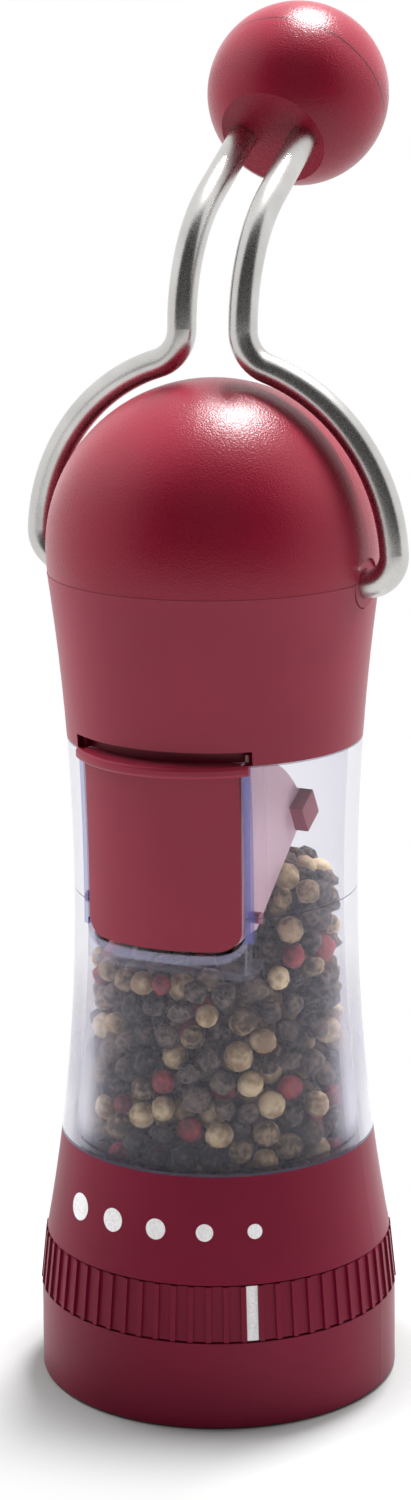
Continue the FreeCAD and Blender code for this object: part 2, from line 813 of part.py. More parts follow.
def wire_path():
    heel = Vector(heel_out.value, 0, (pivot + s.heel_bend).value)
    arch = Vector(0, 0, arch_height.value)
    shoulder = Vector((leg + s.shoulder_bend).value, 0, neck_start.value)
    bend = Vector(leg.value, s.neck_bend.value, neck_start.value)
    inner_end = Vector((hub_half - s.hub_grip).value, 0, pivot.value)
    heel_start = Vector(heel_out.value, 0, pivot.value)
    arch_start = arch + (heel - arch).normalize() * arch_radius.value
    arch_end = arch + (shoulder - arch).normalize() * arch_radius.value
    leg_start = Vector(leg.value, 0, neck_start.value)
    leg_end = Vector(leg.value, neck_end[0].value, neck_end[1].value)
    ball_end = Vector(leg.value, ball_centre[0].value, ball_centre[1].value)
    tip = ball_end - (ball_end - leg_end).normalize() * wire_end_gap.value
    return Part.Wire([
        Part.makeLine(inner_end, heel_start),
        on_arc(heel, s.heel_bend.value, heel_start, arch_start),
        on_arc(arch, arch_radius.value, arch_start, arch_end),
        on_arc(shoulder, s.shoulder_bend.value, arch_end, leg_start),
        on_arc(bend, s.neck_bend.value, leg_start, leg_end),
        Part.makeLine(leg_end, tip),
    ])


def handle_wires():
    path = solid("wire_path", wire_path())
    ring = doc.addObject("Part::Circle", "wire_section")
    bind(ring, Radius=s.wire_diameter / 2)
    place(ring, (hub_half - s.hub_grip, 0, pivot), ALONG["X"])
    rod = doc.addObject("Part::Sweep", "wire_rod")
    rod.Sections = [ring]
    rod.Spine = (path, [f"Edge{i + 1}" for i in range(len(path.Shape.Edges))])
    rod.Solid = True
    right = cut("right_wire", rod, hub_pin("right_wire_hole", 1))
    left = doc.addObject("Part::Mirroring", "left_wire")
    left.Source = right
    left.Normal = Vector(1, 0, 0)
    node("right_handle_wire", right)
    node("left_handle_wire", left)


def hub_pin(name, side):
    """The cross pin through the hub and a wire end."""
    return cylinder(name, s.pin_diameter / 2, s.hub_radius * 2,
                    ((hub_half - s.hub_grip / 2) * side, 0, pivot - s.hub_radius))


def rocker_hub():
    rod = cylinder("hub_rod", s.hub_radius, hub_half * 2, (-hub_half, 0, pivot), "X")
    tools = []
    for side in (-1, 1):
        tools.append(cylinder(f"hub_bore_{side + 1}", s.wire_diameter / 2, s.hub_grip,
                              (hub_half - s.hub_grip if side > 0 else -hub_half, 0, pivot), "X"))
        tools.append(hub_pin(f"hub_hole_{side + 1}", side))
    node("rocker_hub", cut("hub", rod, *tools))
    node("hub_pins", group("hub_pin_set", hub_pin("hub_pin_left", -1), hub_pin("hub_pin_right", 1)))


def on_ball(piece):
    """Sets a piece on the ball's centre, its own Z along the ends of the wires."""
    place(piece, (0, ball_centre[0], ball_centre[1]), Rotation(Vector(-1, 0, 0), s.neck_turn.value))
    piece.setExpression("Placement.Rotation.Angle", s.neck_turn.formula)


def ball_halves():
    inner = s.ball_radius - s.ball_wall
    facet = root(s.ball_radius * s.ball_radius - s.facet_radius * s.facet_radius)
    floor = facet - s.ball_wall
    shell = turned("ball_cup", [
        (0, -facet),
        (s.facet_radius, -facet, s.ball_radius, 1),
        (s.ball_radius, 0),
        (inner, 0, inner, -1),
        (root(inner * inner - floor * floor), -floor),
        (0, -floor),
    ])
    sockets = []
    bores = []
    for side in (-1, 1):
        height = facet - wire_end_gap
        sockets.append(cylinder(f"socket_{side + 1}", s.wire_diameter / 2 + s.socket_wall,
                                height - s.ball_wall / 2, (leg * side, 0, s.ball_wall / 2 - facet)))
        bores.append(cylinder(f"socket_bore_{side + 1}", s.wire_diameter / 2, height,
                              (leg * side, 0, -facet)))
    lower = cut("ball_lower", joined("ball_cup_socketed", shell, *sockets), *bores)
    on_ball(lower)
    node("ball_lower_half", lower)
    spigot = inner - s.running_gap * 4
    lip = spigot - s.rebate_wall
    upper = turned("ball_upper", [
        (lip, -s.spigot_depth),
        (spigot, -s.spigot_depth),
        (spigot, 0),
        (s.ball_radius, 0, s.ball_radius, 1),
        (0, s.ball_radius),
        (0, inner, inner, -1),
        (lip, root(inner * inner - lip * lip)),
    ])
    on_ball(upper)
    node("ball_upper_half", upper)


# The bevel pair: both pitch cones meet where the handle's axle crosses the shaft
pressure_angle = math.radians(20)


def bevel_sizes(teeth, mate, shift):
    """Pitch radius, distance of the pitch circle from the apex, tooth height and depth of a wheel."""
    pitch_radius = s.gear_module * teeth / 2
    apex_distance = s.gear_module * mate / 2
    tall = s.gear_module * (1 + shift)
    deep = s.gear_module * (s.tooth_root - shift)
    return pitch_radius, apex_distance, tall, deep


def shrink():
    """How much smaller a tooth is at its inner end than at its outer end."""
    pitch = s.gear_module * s.gear_teeth / 2
    other = s.gear_module * s.pinion_teeth / 2
    cone = root(pitch * pitch + other * other)
    return (cone - s.tooth_face) / cone


def tooth_flank(virtual, tall, deep, half_pitch_angle):
    """Points (across, up) of one involute flank from below its root to its tip."""
    base = virtual * math.cos(pressure_angle)
    start = half_pitch_angle + math.tan(pressure_angle) - pressure_angle
    low = virtual - deep
    points = []
    foot_angle = start if low < base else None
    for share in (0.0, 0.35, 0.7, 1.0):
        radius = max(low, base) + (virtual + tall - max(low, base)) * share
        roll = math.acos(base / radius)
        angle = start - (math.tan(roll) - roll)
        points.append((radius * math.sin(angle), radius * math.cos(angle) - virtual))
        if foot_angle is None:
            foot_angle = angle
    sunk = low - s.tooth_sink.value
    return [(sunk * math.sin(foot_angle), sunk * math.cos(foot_angle) - virtual)] + points


def bevel_teeth(teeth, mate, shift):
    """Straight bevel teeth about +Z, running towards the apex at the origin."""
    pitch_radius, apex_distance, tall, deep = (value.value for value in bevel_sizes(teeth, mate, shift))
    slope = math.atan2(pitch_radius, apex_distance)
    virtual = pitch_radius / math.cos(slope)
    module = s.gear_module.value
    thick = module * (math.pi / 2 + 2 * shift.value * math.tan(pressure_angle)) - s.tooth_slack.value
    flank = tooth_flank(virtual, tall, deep, thick / 2 / virtual)
    profile = [(-across, up) for across, up in flank] + list(reversed(flank))
    outer = [Vector(pitch_radius + up * math.cos(slope), across, apex_distance - up * math.sin(slope))
             for across, up in profile]
    inner = [point * shrink().value for point in outer]
    wires = [Part.makePolygon(points + points[:1]) for points in (outer, inner)]
    tooth = Part.makeLoft(wires, True, True)
    count = int(round(teeth.value))
    return [tooth.rotated(Vector(), Vector(0, 0, 1), 360 / count * i) for i in range(count)]


def bevel_wheel(name, blank, teeth, mate, shift):
    doc.recompute()
    whole = blank.Shape.multiFuse(bevel_teeth(teeth, mate, shift)).removeSplitter()
    return solid(name, whole.Solids[0])


def bevel_drive_gear():
    radius, distance, _, deep = bevel_sizes(s.gear_teeth, s.pinion_teeth, -s.tooth_shift)
    cone = root(radius * radius + distance * distance)
    foot_radius = radius - deep * distance / cone
    foot_height = distance + deep * radius / cone
    small = shrink()
    back = foot_height + s.gear_rim
    blank = turned("gear_blank", [
        (s.hub_radius, foot_height * small - s.gear_rim / 2),
        (s.gear_boss, foot_height * small - s.gear_rim / 2),
        (s.gear_boss, foot_height * small + s.gear_rim / 2),
        (foot_radius * small - s.gear_rim / 2, foot_height * small + s.gear_rim / 2),
        (foot_radius * small, foot_height * small),
        (foot_radius, foot_height),
        (foot_radius, back),
        (s.gear_boss, back),
        (s.gear_boss, back + s.gear_rim),
        (s.hub_radius, back + s.gear_rim),
    ])
    gear = bevel_wheel("drive_gear", blank, s.gear_teeth, s.pinion_teeth, -s.tooth_shift)
    gear.Placement = Placement(Vector(0, 0, pivot.value), ALONG["X"])
    return node("bevel_drive_gear", gear)


pinion_tail = deck_top + s.shaft_bush_wall + s.hub_end_gap / 2


def pinion_ends():
    radius, distance, _, deep = bevel_sizes(s.pinion_teeth, s.gear_teeth, s.tooth_shift)
    cone = root(radius * radius + distance * distance)
    return radius - deep * distance / cone, distance + deep * radius / cone


def bevel_pinion():
    foot_radius, foot_height = pinion_ends()
    small = shrink()
    shaft = s.shaft_diameter / 2
    tail = pivot - pinion_tail
    blank = turned("pinion_blank", [
        (shaft, foot_height * small),
        (foot_radius * small, foot_height * small),
        (foot_radius, foot_height),
        (foot_radius, tail),
        (shaft, tail),
    ])
    wheel = bevel_wheel("pinion_wheel", blank, s.pinion_teeth, s.gear_teeth, s.tooth_shift)
    half_pitch = 180 / s.pinion_teeth.value
    turn = Rotation(Vector(1, 0, 0), 180) * Rotation(Vector(0, 0, 1), half_pitch)
    wheel.Placement = Placement(Vector(0, 0, pivot.value), turn)
    return node("bevel_pinion", cut("pinion", wheel, pinion_pin("pinion_hole")))


def pinion_pin(name):
    foot_radius, foot_height = pinion_ends()
    middle = (pinion_tail + pivot - foot_height) / 2
    return cylinder(name, s.pinion_pin / 2, foot_radius * 2, (-foot_radius, 0, middle), "X")


# The burrs and what carries them
burr_bottom = sleeve_bottom + s.rotor_clearance
rotor_top = burr_bottom + s.rotor_height
stator_top = burr_bottom + s.stator_height
carrier_top = stator_top + s.carrier_lip
spider_bottom = carrier_top + s.stator_lift + s.hub_end_gap * 2


def drive_shaft():
    top = pivot - pinion_ends()[1] * shrink()
    rod = cylinder("shaft_rod", s.shaft_diameter / 2, top - rotor_top, (0, 0, rotor_top))
    square = block("shaft_square", (s.square_width, s.square_width, s.rotor_height), (0, 0, burr_bottom))
    tail = s.washer_height + s.nut_height + s.washer_height / 2
    thread = cylinder("shaft_thread", s.thread_diameter / 2, tail, (0, 0, burr_bottom - tail))
    node("drive_shaft", cut("shaft", joined("shaft_whole", rod, square, thread), pinion_pin("shaft_hole")))
    node("pinion_pin", pinion_pin("pinion_cross_pin"))


def upper_shaft_bush():
    bore = s.shaft_diameter / 2 + s.running_gap
    barrel = bore + s.shaft_bush_wall
    return node("upper_shaft_bush", turned("shaft_bush", [
        (bore, hopper_top),
        (barrel, hopper_top),
        (barrel, deck_top),
        (barrel + s.shaft_bush_wall, deck_top),
        (barrel + s.shaft_bush_wall, deck_top + s.shaft_bush_wall),
        (bore, deck_top + s.shaft_bush_wall),
    ]))


spoke_angles = (30.0, 150.0, 270.0)


def shaft_spider():
    bore = s.shaft_diameter / 2 + s.running_gap
    hub = bore + s.spider_rim
    top = spider_bottom + s.spider_height
    rim = turned("spider_rim_ring", [
        (sleeve_bore - s.spider_rim, spider_bottom), (sleeve_bore, spider_bottom),
        (sleeve_bore, top), (sleeve_bore - s.spider_rim, top)])
    boss = turned("spider_hub", [(bore, spider_bottom), (hub, spider_bottom), (hub, top), (bore, top)])
    inner, outer = hub - s.spider_rim / 2, sleeve_bore - s.spider_rim / 2
    spokes = []
    for i, angle in enumerate(spoke_angles):
        middle = (inner + outer) / 2
        at = (middle * math.cos(math.radians(angle)), middle * math.sin(math.radians(angle)), spider_bottom)
        spokes.append(block(f"spoke_{i}", (outer - inner, s.spoke_width, s.spider_height), at, angle))
    return node("shaft_spider", joined("spider", rim, boss, *spokes))


def burr_ring(radius, depth, teeth, turn, height):
    """A ring of saw teeth: the outline of a burr at one height."""
    count = int(round(teeth.value))
    points = []
    for i in range(count):
        for share, reach in ((0.0, radius), (s.burr_rake.value, radius + depth)):
            angle = math.radians((i + share) * 360 / count + turn)
            points.append(Vector(reach * math.cos(angle), reach * math.sin(angle), height))
    return Part.makePolygon(points + points[:1])


def grinder_rotor():
    depth = -s.burr_tooth.value
    rings = [burr_ring(s.rotor_low_radius.value, depth, s.rotor_teeth, 0.0, burr_bottom.value),
             burr_ring(s.rotor_high_radius.value, depth, s.rotor_teeth, s.rotor_twist.value, rotor_top.value)]
    cone = solid("rotor_cone", Part.makeLoft(rings, True, True))
    square = block("rotor_bore", (s.square_width, s.square_width, s.rotor_height), (0, 0, burr_bottom))
    return node("grinder_rotor", cut("rotor", cone, square))


def stator_set():
    depth = s.burr_tooth.value
    low = (s.rotor_low_radius + s.burr_gap).value
    rings = [burr_ring(low, depth, s.stator_teeth, 0.0, burr_bottom.value),
             burr_ring(s.stator_high_radius.value, depth, s.stator_teeth, s.stator_twist.value,
                       stator_top.value)]
    bore = solid("stator_bore", Part.makeLoft(rings, True, True))
    blank = cylinder("stator_blank", s.stator_radius, s.stator_height, (0, 0, burr_bottom))
    node("grinder_stator", cut("stator", blank, bore))
    outside = sleeve_bore - s.running_gap
    mouth = s.stator_high_radius + s.burr_tooth
    cup = turned("carrier_cup", [
        (s.stator_radius, burr_bottom),
        (outside, burr_bottom),
        (outside, carrier_top),
        (mouth, carrier_top),
        (mouth, stator_top),
        (s.stator_radius, stator_top),
    ])
    reach = s.sleeve_radius + s.running_gap + s.groove_depth - s.ring_gap - s.stator_radius
    holes = [lift_pin(f"lift_hole_{i}", angle, reach) for i, angle in enumerate(lift_angles)]
    pins = [lift_pin(f"lift_pin_{i}", angle, reach) for i, angle in enumerate(lift_angles)]
    node("stator_carrier", cut("carrier", cup, *holes))
    node("lift_pins", group("lift_pin_set", *pins))


def lift_pin(name, angle, reach):
    pin = cylinder(name, s.lift_pin / 2, reach)
    spot = (s.stator_radius * math.cos(math.radians(angle)), s.stator_radius * math.sin(math.radians(angle)))
    place(pin, (*spot, lift_height), Rotation(Vector(0, 0, 1), angle) * ALONG["X"])
    return pin


def rotor_fixings():
    bore = s.thread_diameter / 2
    washer_bottom = burr_bottom - s.washer_height
    node("rotor_washer", turned("washer", [
        (bore, washer_bottom), (s.washer_radius, washer_bottom),
        (s.washer_radius, burr_bottom), (bore, burr_bottom)]))
    hexagon = doc.addObject("Part::Prism", "nut_hexagon")
    hexagon.Polygon = 6
    bind(hexagon, Circumradius=s.nut_width / math.sqrt(3), Height=s.nut_height)
    place(hexagon, (0, 0, washer_bottom - s.nut_height))
    hole = cylinder("nut_hole", bore, s.nut_height, (0, 0, washer_bottom - s.nut_height))
    node("rotor_nut", cut("nut", hexagon, hole))


foot()
foot_screws()
base_housing()
adjuster_ring()
clear_hopper()
refill_door()
upper_collar()
dome_cover()
dome_screws()
pivot_bush("right_pivot_bush", 1)
pivot_bush("left_pivot_bush", -1)
handle_wires()
rocker_hub()
ball_halves()
bevel_drive_gear()
bevel_pinion()
drive_shaft()
upper_shaft_bush()
shaft_spider()
grinder_rotor()
stator_set()
rotor_fixings()

doc.recompute()
for piece in doc.Objects:
    if "Invalid" in piece.State or "Error" in piece.State:
        raise SystemExit(f"{piece.Label} failed")
for piece in nodes:
    if piece.Shape.isNull() or not piece.Shape.isValid():
        raise SystemExit(f"{piece.Label} has no valid solid")
    print(piece.Label, len(piece.Shape.Solids), round(piece.Shape.Volume, 2))

os.makedirs("parts", exist_ok=True)
for piece in nodes:
    piece.Shape.exportStep(f"parts/{piece.Label}.step")
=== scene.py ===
"""Finishes, printed marks, peppercorns and studio of the pepper mill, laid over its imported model."""
import math

import bmesh
import bpy
import numpy as np
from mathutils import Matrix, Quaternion, Vector


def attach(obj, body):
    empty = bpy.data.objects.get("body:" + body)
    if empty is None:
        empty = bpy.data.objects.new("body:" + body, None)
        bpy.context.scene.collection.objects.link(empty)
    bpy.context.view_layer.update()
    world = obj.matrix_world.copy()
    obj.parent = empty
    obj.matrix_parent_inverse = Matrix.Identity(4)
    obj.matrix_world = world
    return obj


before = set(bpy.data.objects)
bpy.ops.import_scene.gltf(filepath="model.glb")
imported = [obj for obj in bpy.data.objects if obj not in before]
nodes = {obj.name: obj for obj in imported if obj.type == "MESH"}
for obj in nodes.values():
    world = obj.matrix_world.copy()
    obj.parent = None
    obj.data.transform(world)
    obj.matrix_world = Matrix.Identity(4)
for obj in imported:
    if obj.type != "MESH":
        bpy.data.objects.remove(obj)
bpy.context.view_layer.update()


# Foot, adjuster ring and base housing: turned-looking mouldings stacked on one axis.
# They are ABS coloured raspberry in the mass, and the tool is finely spark eroded, so they
# come out satin, with a faint cloud in the colour where the plastic flowed.
class Signal:
    """A socket of a node tree; arithmetic on it adds Math nodes."""

    def __init__(self, web, socket):
        self.web = web
        self.socket = socket

    def math(self, operation, first, second=0.0):
        return self.web.node("ShaderNodeMath", {"operation": operation}, {0: first, 1: second})

    def __add__(self, other):
        return self.math("ADD", self, other)

    def __sub__(self, other):
        return self.math("SUBTRACT", self, other)

    def __mul__(self, other):
        return self.math("MULTIPLY", self, other)

    def __pow__(self, other):
        return self.math("POWER", self, other)

    def __lt__(self, other):
        return self.math("LESS_THAN", self, other)

    def __gt__(self, other):
        return self.math("GREATER_THAN", self, other)

    def __abs__(self):
        return self.math("ABSOLUTE", self)

    def __radd__(self, other):
        return self.math("ADD", other, self)

    def __rsub__(self, other):
        return self.math("SUBTRACT", other, self)

    def __rmul__(self, other):
        return self.math("MULTIPLY", other, self)


class Web:
    """A node tree under construction."""

    def __init__(self, tree):
        self.tree = tree

    def node(self, kind, settings=None, inputs=None, output=0):
        """Adds a node, with its settings and its sockets' values or links, and gives one output."""
        made = self.tree.nodes.new(kind)
        for name, value in (settings or {}).items():
            if name == "stops":
                while len(made.color_ramp.elements) < len(value):
                    made.color_ramp.elements.new(1.0)
                for element, (spot, colour) in zip(made.color_ramp.elements, value):
                    element.position = spot
                    element.color = (*colour, 1.0)
            else:
                setattr(made, name, value)
        for name, value in (inputs or {}).items():
            if isinstance(value, Signal):
                self.tree.links.new(value.socket, made.inputs[name])
            else:
                made.inputs[name].default_value = value
        return Signal(self, made.outputs[output]) if made.outputs else None


class Finish(Web):
    """A material whose pattern lies in the mill's own coordinates."""

    def __init__(self, name):
        self.material = bpy.data.materials.new(name)
        self.material.use_nodes = True
        super().__init__(self.material.node_tree)
        self.tree.nodes.clear()
        self.place = self.node("ShaderNodeTexCoord", output="Object")

    def axis(self, name):
        return self.node("ShaderNodeSeparateXYZ", inputs={"Vector": self.place}, output=name)

    def noise(self, scale, detail=2.0):
        values = {"Vector": self.place, "Scale": scale, "Detail": detail}
        return self.node("ShaderNodeTexNoise", inputs=values)

    def ramp(self, factor, *stops):
        return self.node("ShaderNodeValToRGB", {"stops": stops}, {"Fac": factor})

    def mixed(self, factor, first, second):
        """One colour turning into another, each a tuple or a signal."""
        first, second = ((*c, 1.0) if isinstance(c, tuple) else c for c in (first, second))
        return self.node("ShaderNodeMix", {"data_type": "RGBA"}, {"Factor": factor, 6: first, 7: second}, 2)

    def bump(self, height, strength, distance):
        values = {"Height": height, "Strength": strength, "Distance": distance}
        return self.node("ShaderNodeBump", inputs=values)

    def plastic(self, **inputs):
        named = {name.replace("_", " "): value for name, value in inputs.items()}
        return self.node("ShaderNodeBsdfPrincipled", inputs=named)

    def surface(self, shader):
        self.node("ShaderNodeOutputMaterial", {"target": "ALL"}, {"Surface": shader})
        return self.material


RASPBERRY_DEEP = (0.205, 0.0045, 0.024)
RASPBERRY = (0.250, 0.0065, 0.033)
# The base's reds are darker copies of the collar's raspberry: painted shade for the lower part of the mill,
# which the lamps light less.
BASE_SHADED_DEEP = (0.145, 0.0025, 0.019)
BASE_SHADED_RASPBERRY = (0.180, 0.0036, 0.026)
SATIN = {"grains_per_metre": 5200.0, "grain_depth": 0.00002, "dullness": 0.32}
BASE_SHINE = 0.16
GRAIN_STRENGTH = 0.6
GRAIN_DULLING = 0.16
FLOWS_PER_METRE = 38.0
FLOW_DULLING = 0.06
SHEEN = 0.10
SHEEN_SPREAD = 0.35


def paint(material, *names):
    """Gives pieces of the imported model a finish."""
    for name in names:
        nodes[name].data.materials.clear()
        nodes[name].data.materials.append(material)


def red_moulding(name, grains_per_metre, grain_depth, dullness, shine,
                 part=None, tint=None, deep=RASPBERRY_DEEP, light=RASPBERRY):
    """Red plastic with a moulded grain; tint colours the share that part gives."""
    finish = Finish(name)
    flow = finish.noise(FLOWS_PER_METRE, detail=3.0)
    colour = finish.ramp(flow, (0.3, deep), (0.72, light))
    if part:
        colour = finish.mixed(part(finish), colour, tint)
    grain = finish.noise(grains_per_metre)
    return finish.surface(finish.plastic(
        Base_Color=colour, Roughness=grain * GRAIN_DULLING + flow * FLOW_DULLING + dullness,
        Specular_IOR_Level=shine, Sheen_Weight=SHEEN, Sheen_Roughness=SHEEN_SPREAD,
        Normal=finish.bump(grain, GRAIN_STRENGTH, grain_depth)))


# Foot, ring and housing take the darker copies of the red, as painted shade.
shaded_base_red = red_moulding("shaded_base_red", **SATIN, shine=BASE_SHINE, deep=BASE_SHADED_DEEP, light=BASE_SHADED_RASPBERRY)
paint(shaded_base_red, "base_foot", "adjuster_ring", "base_housing")

# Grind scale: five dots pad-printed round the base housing, from coarse down to fine, and
# one white bar on the adjuster ring between two ribs, which is turned to point at a dot.
# Both are films of white ink that stand a few hundredths of a millimetre proud.
MM = 0.001
WAIST_HEIGHT = 90.0
WAIST_RADIUS = 24.95
LOWER_FLARE = 350.0
UPPER_FLARE = 405.0
INK_PROUD = 0.04
INK_SUNK = 0.15
INK_DULL = (0.70, 0.68, 0.69)
INK_WHITE = (0.86, 0.85, 0.86)
INK_ROUGHNESS = 0.4
SPECK_ROUGHNESS = 0.2
SPECKS_PER_METRE = 2400.0
DOT_HEIGHT = 35.4
DOT_CORNERS = 40
# Each dot's bearing from the chute in degrees, and its diameter.
DOTS = ((-30.2, 4.8), (-13.1, 4.1), (4.0, 3.6), (21.1, 3.0), (38.2, 2.6))
BAR_ANGLE = 36.5
BAR_WIDTH = 2.0
BAR_STEPS = 4
# Height and radius of the ring at the two ends of the bar.
BAR_ENDS = ((16.32, 31.6), (25.98, 30.55))


def flare(height, inset=0.0):
    """Radius of the hourglass casing at a height, in millimetres, or of a surface inside it."""
    bend = np.where(height < WAIST_HEIGHT, LOWER_FLARE, UPPER_FLARE)
    return WAIST_RADIUS + bend - np.sqrt((bend + inset) ** 2 - (height - WAIST_HEIGHT) ** 2)


def round_mill(angle, radius, height):
    """A point given by its bearing from the chute, in degrees, its radius and its height."""
    turn = math.radians(angle)
    return Vector((radius * math.sin(turn), -radius * math.cos(turn), height)) * MM


def placed(name, data):
    """A new object in the scene."""
    made = bpy.data.objects.new(name, data)
    bpy.context.scene.collection.objects.link(made)
    return made


def piece(name, body, slot, material, corners, faces, smooth=False):
    """Adds a mesh that rides on a body and takes the given finish; slot, the record's finish, is not used."""
    mesh = bpy.data.meshes.new(name)
    mesh.from_pydata(corners, [], faces)
    shaped = bmesh.new()
    shaped.from_mesh(mesh)
    bmesh.ops.recalc_face_normals(shaped, faces=shaped.faces)
    shaped.to_mesh(mesh)
    shaped.free()
    for face in mesh.polygons:
        face.use_smooth = smooth
    mesh.materials.append(material)
    made = placed(name, mesh)
    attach(made, body)


def slab(outer, inner):
    """Corners and faces of a closed sheet between two grids, each a list of lines of points."""
    lines, long = len(outer), len(outer[0])
    under = lines * long
    corners = [point for grid in (outer, inner) for line in grid for point in line]
    faces = []
    edges = []
    for line in range(lines - 1):
        for step in range(long - 1):
            start = line * long + step
            quad = (start, start + 1, start + long + 1, start + long)
            faces += [quad, tuple(under + corner for corner in quad)]
        edges += [(start, start + long) for start in (line * long, line * long + long - 1)]
    for step in range(long - 1):
        edges += [(start, start + 1) for start in (step, (lines - 1) * long + step)]
    faces += [(first, second, under + second, under + first) for first, second in edges]
    return corners, faces


def white_ink():
    """Matt ink with the fine specks of pad printing."""
    finish = Finish("white_ink")
    speck = finish.noise(SPECKS_PER_METRE, detail=3.0)
    colour = finish.ramp(speck, (0.25, INK_DULL), (0.6, INK_WHITE))
    return finish.surface(finish.plastic(
        Base_Color=colour, Roughness=speck * SPECK_ROUGHNESS + INK_ROUGHNESS,
        Normal=finish.bump(speck, strength=0.3, distance=0.00001)))


ink = white_ink()
for number, (angle, across) in enumerate(DOTS, start=1):
    corners = []
    for proud in (INK_PROUD, -INK_SUNK):
        for step in range(DOT_CORNERS):
            turn = 2 * math.pi * step / DOT_CORNERS
            height = DOT_HEIGHT + across / 2 * math.sin(turn)
            radius = float(flare(height))
            sideways = math.degrees(across / 2 * math.cos(turn) / radius)
            corners.append(round_mill(angle + sideways, radius + proud, height))
        corners.append(round_mill(angle, float(flare(DOT_HEIGHT)) + proud, DOT_HEIGHT))
    under = DOT_CORNERS + 1
    faces = []
    for step in range(DOT_CORNERS):
        after = (step + 1) % DOT_CORNERS
        faces.append((step, after, DOT_CORNERS))
        faces.append((under + after, under + step, under + DOT_CORNERS))
        faces.append((after, step, under + step, under + after))
    piece(f"scale_dot_{number}", "housing", "red_satin", ink, corners, faces)


def bar_layer(proud):
    """The bar's two end lines, across it, at a height above the ring."""
    lines = []
    for height, radius in BAR_ENDS:
        places = [BAR_WIDTH * (step / BAR_STEPS - 0.5) for step in range(BAR_STEPS + 1)]
        angles = [BAR_ANGLE + math.degrees(place / radius) for place in places]
        lines.append([round_mill(angle, radius + proud, height) for angle in angles])
    return lines


piece("pointer_bar", "adjuster", "red_satin", ink, *slab(bar_layer(INK_PROUD), bar_layer(-INK_SUNK)))


# Works inside: ceramic burrs, natural nylon gears, carriers and bushes, and steel shaft, pins
# and screws. They hide in the casing, apart from the shaft, which shows through the hopper.
CLOUD_ROUGHNESS = 0.15


def inner_finish(name, dark, pale, clouds_per_metre, dullness, metallic=0.0):
    """A plain finish with a faint cloud in its colour and its shine."""
    finish = Finish(name)
    cloud = finish.noise(clouds_per_metre, detail=3.0)
    return finish.surface(finish.plastic(
        Base_Color=finish.ramp(cloud, (0.3, dark), (0.7, pale)), Metallic=metallic,
        Roughness=cloud * CLOUD_ROUGHNESS + dullness,
        Normal=finish.bump(cloud, strength=0.3, distance=0.00003)))


ceramic = inner_finish("ceramic", dark=(0.72, 0.70, 0.65), pale=(0.84, 0.82, 0.78),
                       clouds_per_metre=900.0, dullness=0.38)
nylon = inner_finish("nylon", dark=(0.62, 0.59, 0.50), pale=(0.71, 0.68, 0.60),
                     clouds_per_metre=700.0, dullness=0.42)
plain_steel = inner_finish("plain_steel", dark=(0.46, 0.46, 0.47), pale=(0.60, 0.60, 0.61),
                           clouds_per_metre=1500.0, dullness=0.28, metallic=1.0)
paint(ceramic, "grinder_rotor", "grinder_stator")
paint(nylon, "rocker_hub", "bevel_drive_gear", "bevel_pinion", "shaft_spider", "stator_carrier",
      "upper_shaft_bush")
paint(plain_steel, "foot_screws", "dome_screws", "hub_pins", "pinion_pin", "drive_shaft", "rotor_washer",
      "rotor_nut", "lift_pins")

# Clear hopper: one acrylic moulding with a 2.4 mm wall and a flanged doorway for the chute.
# Light that runs along the wall leaves at its edges, so the doorway's flanges are painted violet, as painted
# edge light, and the rims dark, as painted shade; the two halves of the tool leave a fine line round the
# waist.
HOPPER_WALL = 2.4
FLANGE_NEAR = 14.9 * MM
FLANGE_FAR = 16.3 * MM
FLANGE_BACK = -17.6 * MM
FLANGE_FOOT = 85.6 * MM
HOPPER_LOW = 45.25 * MM
HOPPER_HIGH = 116.65 * MM
TONGUE_FOOT = 116.95 * MM
SKIRT_TOP = 76.0 * MM
SKIRT_FOOT = 51.0 * MM
TOOL_LINE = 90.0 * MM
TOOL_LINE_WIDTH = 0.26 * MM
OUTER_SKIN = (WAIST_RADIUS - 0.6) * MM
GRAZE_BLEND = 0.4
GRAZE_POWER = 2.0
EDGE_STARTS = 0.36
EDGE_FULL = 0.60
CLEAR_TINT = (0.72, 0.70, 0.82)
# Painted shade for the wall seen at grazing angles.
GRAZE_SHADE_TINT = (0.36, 0.36, 0.47)
# Painted reflection of the white table on the hopper's lower flare.
TABLE_REFLECTION_TINT = (0.56, 0.56, 0.62)
# Painted edge light: the violet of the flanges and the doorway rim.
PAINTED_EDGE_VIOLET = (0.120, 0.115, 0.37)
# Dark of the real tool line, also used as the painted shade on the rims.
LINE_AND_RIM_SHADE_TINT = (0.055, 0.05, 0.10)
LIGHT_THROUGH = (0.97, 0.97, 0.985, 1.0)
GRAZED_SHARE = 0.30
TABLE_REFLECTION_SHARE = 0.7
PAINTED_EDGE_SHARE = 0.5
LINE_AND_RIM_SHADE_SHARE = 0.5
PLAIN_SHARE = 0.045
ACRYLIC_SHINE = 0.7
ACRYLIC_ROUGHNESS = 0.03
HAZE_ROUGHNESS = 0.05
HAZE_PER_METRE = 240.0


